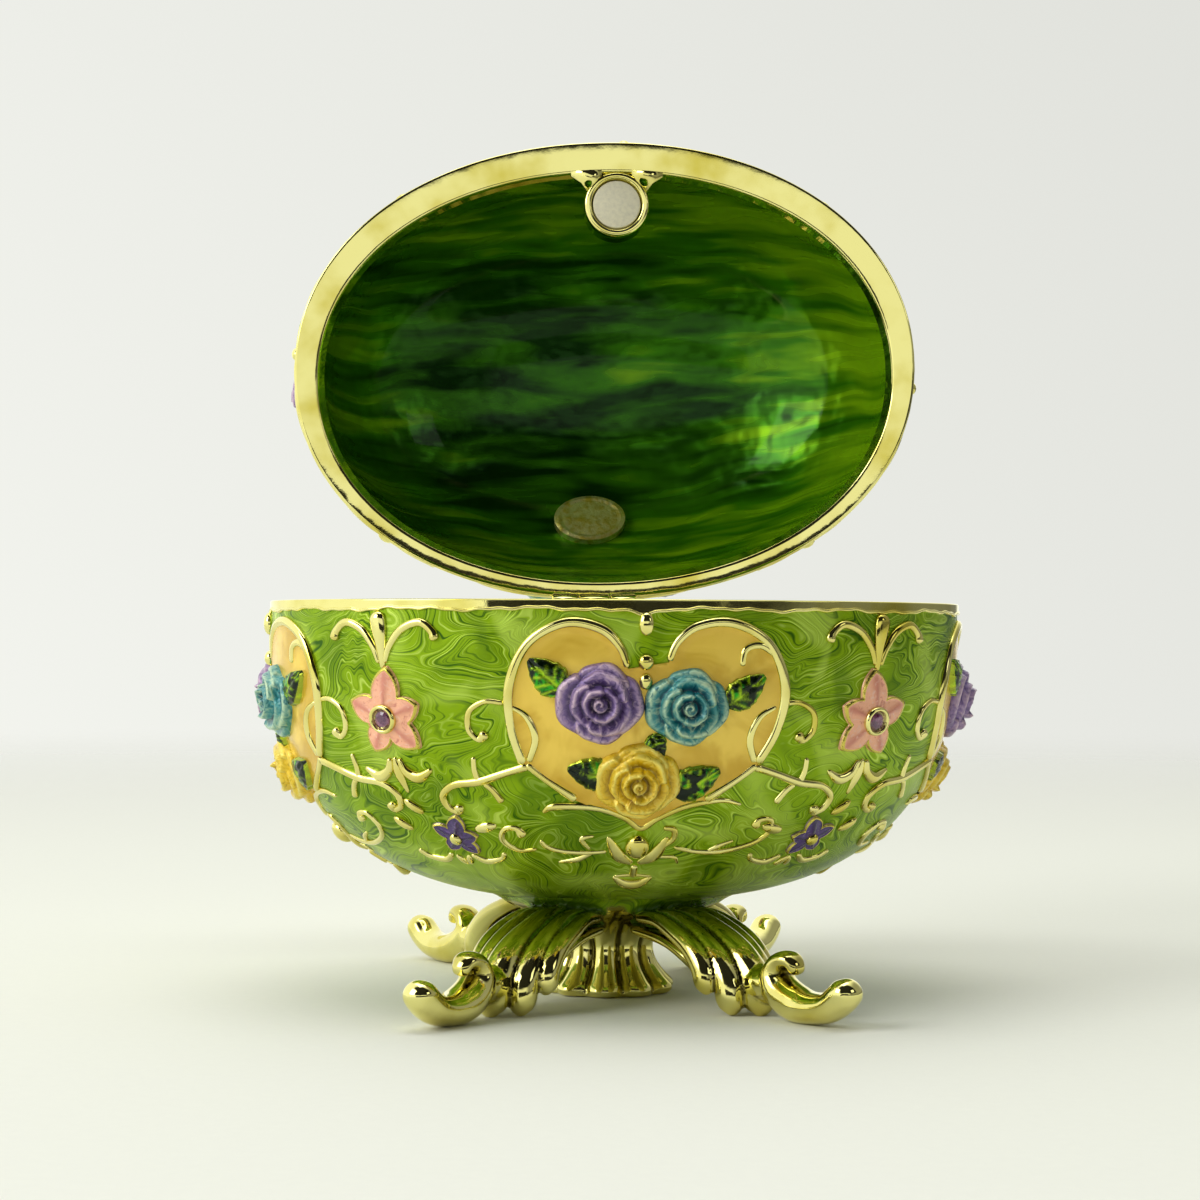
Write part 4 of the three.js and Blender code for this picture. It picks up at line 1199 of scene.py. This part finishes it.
class EGG_OT_crystals(EggOperator, bpy.types.Operator):
    """Faceted violet crystals in their bezels"""

    bl_idname = "egg.crystals"
    bl_label = "Crystals"

    def execute(self, context):
        egg = self.egg
        s = egg.sizes
        finish = cut_crystal(self.colours)
        for body, half in egg.halves.items():
            for i, (girth, _, _) in enumerate(egg.flowers, 1):
                place, along, _, out = half.axes(girth, s.flower_drop)
                stone = self.cut_stone(f"{body}_stone_{i}", s.crystal_radius)
                rows = np.array([along, np.cross(out, along), out])
                move_points(stone, lambda points: egg.settle(body, points @ rows + place + out * 0.5))
                stone.data.materials.append(finish)
                enrol(stone, body, "crystal", f"crystal_{body}_{i}")
        return {"FINISHED"}

    @staticmethod
    def cut_stone(name, radius):
        """A round stone: twelve-sided girdle, bevelled crown and table, pointed back."""
        stone = add_cylinder(name, 12, radius, 0.28)
        bpy.ops.object.mode_set(mode="EDIT")
        inset_end(stone, 1, [(radius * 0.22, 0.20), (radius * 0.26, 0.12)])
        inset_end(stone, -1, [(radius * 0.7, 0.2)])
        bpy.ops.mesh.select_all(action="SELECT")
        bpy.ops.mesh.quads_convert_to_tris()
        bpy.ops.mesh.normals_make_consistent(inside=False)
        bpy.ops.object.mode_set(mode="OBJECT")
        return stone


# The leg's draped lobes: (distance out, sideways, radius, height of the end).
LOBES = [(20.9, 0.0, 1.6, 0.2), (19.3, 2.15, 1.35, 0.25), (19.5, -2.15, 1.35, 0.25), (17.6, 3.7, 1.05, 2.0),
         (17.8, -3.7, 1.05, 2.0)]
LOBE_ROOT = (7.0, 7.9)
# Along a lobe: (share of the way out, share of the way down, share of its sideways place, of its radius).
DRAPE = [(0.0, 0.0, 0.74, 0.56), (0.34, 0.0, 0.90, 0.66), (0.60, 0.15, 0.98, 0.80), (0.82, 0.36, 1.0, 0.92),
         (0.96, 0.62, 1.0, 1.0), (1.0, 0.84, 1.0, 0.98), (1.0, 0.96, 1.0, 0.72), (0.985, 1.0, 1.0, 0.3)]
# The scroll toe, from the eye of its volute to its bulb: (distance out, height, radius, breadth).
TOE = [(25.9, 4.1, 0.5, 0.8), (25.8, 4.9, 0.65, 1.0), (25.1, 5.4, 0.8, 1.3), (24.0, 5.1, 0.95, 1.5),
       (23.4, 3.9, 1.25, 1.7), (24.2, 2.5, 1.6, 1.95), (26.0, 1.65, 1.65, 2.0), (28.1, 1.45, 1.45, 1.85),
       (30.3, 1.85, 1.4, 1.7), (32.1, 3.1, 1.45, 1.6), (33.0, 4.3, 1.2, 1.35)]
# The web under a leg, which joins its lobes and its toe: (distance out, height, radius, breadth).
WEB = [(5.0, 6.6, 0.9, 2.6), (11.0, 5.9, 1.0, 3.2), (15.5, 3.8, 1.2, 2.9), (18.0, 2.4, 1.1, 1.9),
       (20.5, 2.7, 1.6, 1.7), (22.5, 2.9, 1.7, 1.7), (25.4, 2.7, 1.2, 1.5)]
# The trumpet column, from its foot up: (reach along X, reach along Y, height, depth of its flutes).
COLUMN = [(0.3, 0.3, 0.0, 0), (5.3, 5.3, 0.0, 0.3), (6.0, 6.0, 0.35, 0.9), (5.9, 5.9, 0.9, 1.1),
          (5.2, 5.2, 1.7, 1.0), (4.5, 4.5, 2.7, 0.85), (4.15, 4.15, 3.8, 0.75), (4.2, 4.1, 4.9, 0.7),
          (4.8, 4.6, 6.0, 0.7), (6.1, 5.6, 7.1, 0.6), (8.4, 7.1, 7.9, 0.4), (10.1, 8.1, 8.5, 0.1),
          (10.9, 8.6, 9.0, 0), (11.7, 9.0, 9.4, 0), (12.8, 9.7, 9.75, 0), (14.3, 10.5, 10.05, 0)]
COLUMN_TOP = [(11.0, 8.0, 10.3, 0), (0.3, 0.3, 10.3, 0)]
COLUMN_SIDES = 180
COLUMN_SHIFT = -0.5
LEG_AZIMUTH = 55.0
STAND_VOXEL = 0.235


def mark_grooves(piece, passes):
    """Marks how deep each point lies under the piece's smoothed form, in millimetres."""
    mesh = piece.data
    count = len(mesh.vertices)
    edges = np.zeros(len(mesh.edges) * 2, int)
    mesh.edges.foreach_get("vertices", edges)
    points, edges = point_vectors(mesh), edges.reshape(-1, 2)
    ends = np.concatenate([edges[:, 0], edges[:, 1]])
    others = np.concatenate([edges[:, 1], edges[:, 0]])
    share = np.maximum(np.bincount(ends, minlength=count), 1)
    smoothed = points
    for _ in range(passes):
        smoothed = np.stack([np.bincount(ends, smoothed[others, k], count) / share for k in range(3)], 1)
    depth = np.sum((smoothed - points) * point_vectors(mesh, "normal"), 1) / MM
    mesh.attributes.new("groove", "FLOAT", "POINT").data.foreach_set("value", depth.astype(np.float32))


class EGG_OT_stand(EggOperator, bpy.types.Operator):
    """The cast stand: petalled column, draped legs and scroll toes"""

    bl_idname = "egg.stand"
    bl_label = "Stand"

    def execute(self, context):
        egg = self.egg
        casting = Casting(egg, "bowl")
        self.add_column(casting)
        for azimuth in (LEG_AZIMUTH, 180 - LEG_AZIMUTH, 180 + LEG_AZIMUTH, -LEG_AZIMUTH):
            self.add_leg(casting, math.radians(azimuth) + egg.sizes.stand_turn)
        stand = casting.build("stand_casting", "gold", stand_metal(self.colours))
        deselect()
        bpy.context.view_layer.objects.active = stand
        stand.data.remesh_voxel_size = STAND_VOXEL * MM
        bpy.ops.object.voxel_remesh()
        polish = stand.modifiers.new("Polish", "SMOOTH")
        polish.factor, polish.iterations = 0.5, 1
        bpy.ops.object.modifier_apply(modifier=polish.name)
        bpy.ops.object.shade_smooth()
        # What touches the floor is ground flat.
        move_points(stand, lambda points: np.maximum(points, [-math.inf, -math.inf, 0.0]))
        mark_grooves(stand, 10)
        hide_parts("foot_stand")
        return {"FINISHED"}

    @staticmethod
    def add_column(casting):
        """Petalled trumpet that swells at its foot and spreads under the egg."""
        angle = around(COLUMN_SIDES)
        petals = np.abs(np.sin(angle * 5 + 0.3)) ** 0.8
        rings = []
        for rx, ry, z, flute in np.vstack([smooth_through(COLUMN, 70), COLUMN_TOP]):
            grow = 1 + 1.25 * flute * (petals - 0.55) / max(rx, 1.0)
            sag = 0.12 * flute * (1 - petals) if z < 1.2 else 0.0
            x = rx * grow * np.cos(angle) + COLUMN_SHIFT * (z < 8.0)
            height = np.broadcast_to(np.maximum(z + sag, 0), x.shape)
            rings.append(np.stack([x, ry * grow * np.sin(angle), height], 1))
        casting.add(np.concatenate(rings), turned(tube_faces(len(rings), COLUMN_SIDES), True))

    def add_leg(self, casting, azimuth):
        """One leg: its draped lobes, the web under them and the scroll toe."""
        out = np.array([math.cos(azimuth), math.sin(azimuth), 0])
        side = np.array([-out[1], out[0], 0])
        root, top = LOBE_ROOT
        for distance, sideways, radius, end in LOBES:
            rows = [(root + (distance - root) * far, sideways * aside, top + (end - top) * low,
                     radius * size, radius * size) for far, low, aside, size in DRAPE]
            self.add_tube(casting, out, side, rows, 22)
        for places, sides in ((WEB, 22), (TOE, 28)):
            self.add_tube(casting, out, side, [(far, 0.0, *row) for far, *row in places], sides)

    @staticmethod
    def add_tube(casting, out, side, rows, sides):
        """A tube along rows of (distance out, sideways, height, radius, breadth), with round ends."""
        fine = smooth_through(rows, len(rows) * 9)
        spots = fine[:, :1] * out + fine[:, 1:2] * side + np.array([0, 0, 1]) * fine[:, 2:3]
        face = unit(np.cross(side, unit(np.gradient(spots, axis=0))))
        side = np.broadcast_to(side, spots.shape)
        cap = round_ends(spots, fine[:, 3])
        sweep(casting, spots, side, face, fine[:, 4] * cap, fine[:, 3] * cap, sides)


class EGG_OT_magnets(EggOperator, bpy.types.Operator):
    """The two closing magnets"""

    bl_idname = "egg.magnets"
    bl_label = "Magnets"

    def execute(self, context):
        egg = self.egg
        s = egg.sizes
        finish = magnet_metal(self.colours)
        for body, half in egg.halves.items():
            centre, _ = magnet_place(s, half)
            disc = add_cylinder(f"{body}_magnet_disc", 72, s.magnet_radius, 1.5)
            soften = disc.modifiers.new("Edge", "BEVEL")
            soften.width, soften.segments, soften.limit_method = 0.14 * MM, 3, "ANGLE"
            bpy.ops.object.modifier_apply(modifier=soften.name)
            bpy.ops.object.shade_smooth_by_angle(angle=math.radians(40))
            spot = [centre[0], centre[1], half.rim + half.up * 0.9]
            move_points(disc, lambda points: egg.settle(body, points + spot))
            disc.data.materials.append(finish)
            enrol(disc, body, "magnet", f"{body}_magnet")
        return {"FINISHED"}


PLAQUE_REACH = 0.69  # the plaque's place, as a share of the way from the lid's top to its edge
PLAQUE_SIZE = (4.0, 3.1)


class EGG_OT_plaque(EggOperator, bpy.types.Operator):
    """The bare oval plaque inside the lid"""

    bl_idname = "egg.plaque"
    bl_label = "Plaque"

    def execute(self, context):
        egg = self.egg
        s = egg.sizes
        depth, power = s.lid_depth - s.wall, s.lid_power

        def place(share):
            height = depth * (1 - share**power) ** (1 / power)
            y = (s.mouth_half_width + s.mouth_shift) * share
            return np.array([-1.7, y, egg.halves["lid"].rim + height])

        up = unit(place(PLAQUE_REACH - 0.02) - place(PLAQUE_REACH + 0.02))
        across = np.array([1.0, 0, 0])
        inward = np.cross(across, up)
        inward = inward if inward[2] < 0 else -inward
        plate = add_cylinder("lid_oval_plaque", 64, 1.0, 1.0)
        bpy.ops.object.mode_set(mode="EDIT")
        inset_end(plate, 1, [(0.12, 0.12), (0.10, -0.08), (0.25, 0.05)])
        bpy.ops.object.mode_set(mode="OBJECT")
        bpy.ops.object.shade_smooth_by_angle(angle=math.radians(35))
        wide, high = PLAQUE_SIZE

        def lay(raw):
            flat = place(PLAQUE_REACH) + raw[:, :1] * across * wide + raw[:, 1:2] * up * high
            return egg.settle("lid", flat + (raw[:, 2:] * 0.9 + 0.75) * inward)

        move_points(plate, lay)
        plate.data.materials.append(worn_gold(self.colours))
        bpy.ops.object.mode_set(mode="EDIT")
        bpy.ops.mesh.select_all(action="SELECT")
        bpy.ops.mesh.normals_make_consistent(inside=False)
        bpy.ops.object.mode_set(mode="OBJECT")
        enrol(plate, "lid", "gold", "lid_plaque")
        return {"FINISHED"}


KNUCKLE_RADIUS = 1.15
PIN_RADIUS = 0.5
PIN_END = 0.3  # how far the pin stands out of the knuckles
MIDDLE_KNUCKLE = 1.6  # half the lid's knuckle
KNUCKLE_GAP = 0.15
# The web between a knuckle and its wall: (outwards from the pin, away from the rim).
LUG = [(-0.15, 1.0), (-0.8, 0.75), (-1.5, 0.45), (-2.2, 0.6), (-2.2, 3.2), (-1.3, 3.4), (-0.7, 2.4)]


class EGG_OT_hinge(EggOperator, bpy.types.Operator):
    """Barrel hinge: two knuckles on the bowl, one on the lid, and their pin"""

    bl_idname = "egg.hinge"
    bl_label = "Hinge"

    def execute(self, context):
        egg = self.egg
        finish = polished_gold(self.colours)
        low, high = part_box("hinge_pin")
        half_length = (Vector(high) - Vector(low)).length / 2 / MM
        near, far = MIDDLE_KNUCKLE + KNUCKLE_GAP, half_length - PIN_END
        knuckles = {"bowl": [(-far, -near), (near, far)], "lid": [(-MIDDLE_KNUCKLE, MIDDLE_KNUCKLE)]}
        for body, spans in knuckles.items():
            casting = Casting(egg, body)
            for start, end in spans:
                self.add_barrel(casting, egg, start, end, KNUCKLE_RADIUS, PIN_RADIUS)
                self.add_lug(casting, egg, start, end, egg.halves[body].up)
            casting.build(f"{body}_hinge_knuckles", "gold", finish)
        casting = Casting(egg, "bowl")
        self.add_barrel(casting, egg, -half_length, half_length, PIN_RADIUS, 0.0)
        pin = casting.build("hinge_pin_rod", "gold", finish)
        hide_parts("hinge_pin")
        return {"FINISHED"}

    @staticmethod
    def frame_axes(egg):
        along = -egg.hinge_axis
        return along, np.array([-along[1], along[0], 0]), np.array([0, 0, 1])

    def add_barrel(self, casting, egg, start, end, radius, bore):
        along, out, up = self.frame_axes(egg)
        ease = 0.15
        middle = max(bore, 0.02)
        profile = [(middle, start), (radius - ease, start), (radius, start + ease), (radius, end - ease),
                   (radius - ease, end), (middle, end)]

        def place(x, y, run):
            return egg.hinge_place + along * run[:, None] + out * x[:, None] + up * y[:, None]

        add_lathe(casting, profile, 36, place, hollow=bore > 0)

    def add_lug(self, casting, egg, start, end, side):
        along, out, up = self.frame_axes(egg)
        rings = [np.array([egg.hinge_place + along * x + out * o + up * z * side for o, z in LUG])
                 for x in (start, end)]
        casting.add(np.concatenate(rings), turned(tube_faces(2, len(LUG)), side < 0))


# The stage is in metres. Its lights are (name, place, size, power) and face AIM, the middle of the bowl.
LIGHTS = (("Key", (-0.50, -0.30, 0.36), 0.36, 1.6), ("Fill", (0.46, -0.34, 0.30), 0.16, 0.13),
          ("Top", (-0.04, 0.06, 0.70), 0.45, 1.3))
AIM = Vector((0, 0, 0.03))
FLOOR_RADIUS = 4.0
CARD_PLACE = (-0.02, -0.30, 0.027)
CARD_SIZE = (0.30, 0.054)
CAMERA_PLACE = (-0.00136, -0.250, 0.0338)
CAMERA_TILT = (90.888, -0.3, 0.0)
CAMERA_LENS = 77.46


class EGG_OT_stage(EggOperator, bpy.types.Operator):
    """Pale floor, soft light and the camera"""

    bl_idname = "egg.stage"
    bl_label = "Stage"

    def execute(self, context):
        deselect()
        bpy.ops.mesh.primitive_circle_add(vertices=96, radius=FLOOR_RADIUS, fill_type="NGON",
                                          location=(0, 0, 0))
        floor = added("floor")
        finish = Finish("Pale floor")
        grain = finish.noise(900.0, 4.0)
        colour = finish.mix(grain * 0.12, self.colours.floor, (0.62, 0.62, 0.58))
        far = finish.vectors("LENGTH", {0: finish.place}, "Value")
        finish.set(colour=colour, rough=0.9, specular=0.05, alpha=1.0 - far.between(0.12, 0.75),
                   normal=finish.bump(grain, 0.08, 0.0003))
        floor.data.materials.append(finish.material)
        self.add_dark_card()
        self.set_world()
        for light in LIGHTS:
            self.add_light(*light)
        bpy.context.scene.view_settings.view_transform = "Standard"
        self.add_camera()
        return {"FINISHED"}

    @staticmethod
    def add_dark_card():
        """The dark front of the camera, which the gold reflects at rim height."""
        deselect()
        bpy.ops.mesh.primitive_plane_add(size=1.0, location=CARD_PLACE, rotation=(math.pi / 2, 0, 0))
        card = added("camera_front")
        card.data.transform(Matrix.Diagonal((*CARD_SIZE, 1.0, 1.0)))
        finish = Finish("Camera black")
        black = finish.mix(finish.noise(60.0), (0.004,) * 3, (0.008,) * 3)
        card.data.materials.append(finish.set(colour=black, rough=0.9))
        card.visible_camera = False

    def set_world(self):
        """Bright all round, with the dark of the room high in front for the gold to reflect."""
        world = bpy.data.worlds.new("Studio")
        bpy.context.scene.world = world
        graph = Graph(world)
        place = graph.node("ShaderNodeTexCoord", output="Generated")
        x, y, z = (graph.part(place, axis) for axis in "XYZ")
        high = z.between(0.23, 0.30) * z.between(0.985, 0.96)
        dark = high * y.between(-0.10, -0.25) * x.between(-0.66, -0.50)
        seen = graph.node("ShaderNodeLightPath", output="Is Camera Ray")
        low = z.between(0.15, 0.07) * x.between(0.30, 0.45)
        front = y.between(-0.50, -0.85) * x.between(-0.5, -0.3) * 0.22
        side = 1.40 - front - x.between(0.30, 0.75).greatest(low * 1.15)
        reflected = (1.0 - seen) * side * (1.0 - dark * 0.98)
        # Painted shading: the backdrop that the camera sees darkens towards +X and upwards.
        behind = seen * (1.0 - x * 0.25 - z * 0.2)
        backdrop = graph.tree.nodes["Background"]
        graph.feed(backdrop.inputs["Strength"], reflected + behind)
        graph.feed(backdrop.inputs["Color"], (*self.colours.backdrop, 1.0))

    @staticmethod
    def add_light(name, place, size, power):
        lamp = bpy.data.lights.new(name, "AREA")
        lamp.shape, lamp.size, lamp.energy = "SQUARE", size, power
        holder = bpy.data.objects.new(name, lamp)
        holder.location = place
        holder.rotation_euler = (AIM - Vector(place)).to_track_quat("-Z", "Y").to_euler()
        bpy.context.scene.collection.objects.link(holder)

    @staticmethod
    def add_camera():
        lens = bpy.data.cameras.new("Camera")
        lens.lens, lens.clip_start = CAMERA_LENS, 0.01
        camera = bpy.data.objects.new("Camera", lens)
        camera.location = CAMERA_PLACE
        camera.rotation_euler = [math.radians(angle) for angle in CAMERA_TILT]
        bpy.context.scene.collection.objects.link(camera)
        bpy.context.scene.camera = camera


OPERATORS = (EGG_OT_shells, EGG_OT_rims, EGG_OT_scrolls, EGG_OT_fields, EGG_OT_roses, EGG_OT_leaves,
             EGG_OT_stars, EGG_OT_crystals, EGG_OT_stand, EGG_OT_magnets, EGG_OT_plaque, EGG_OT_hinge,
             EGG_OT_stage)


class EGG_PT_panel(bpy.types.Panel):
    """Lists the settings and one button for each group of pieces"""

    bl_idname = "EGG_PT_panel"
    bl_label = "Jewelled Egg Box"
    bl_space_type = "VIEW_3D"
    bl_region_type = "UI"
    bl_category = "Egg Box"

    def draw(self, context):
        for settings in (context.scene.egg_sizes, context.scene.egg_colours):
            for name in settings.__annotations__:
                self.layout.prop(settings, name)
        for operator in OPERATORS:
            self.layout.operator(operator.bl_idname)


CLASSES = (EggSizes, EggColours, *OPERATORS, EGG_PT_panel)


def register():
    for item in CLASSES:
        bpy.utils.register_class(item)
    bpy.types.Scene.egg_sizes = PointerProperty(type=EggSizes)
    bpy.types.Scene.egg_colours = PointerProperty(type=EggColours)


def unregister():
    del bpy.types.Scene.egg_colours
    del bpy.types.Scene.egg_sizes
    for item in reversed(CLASSES):
        bpy.utils.unregister_class(item)


def main():
    register()
    for operator in OPERATORS:
        group, name = operator.bl_idname.split(".")
        getattr(getattr(bpy.ops, group), name)()


if __name__ == "__main__":
    main()
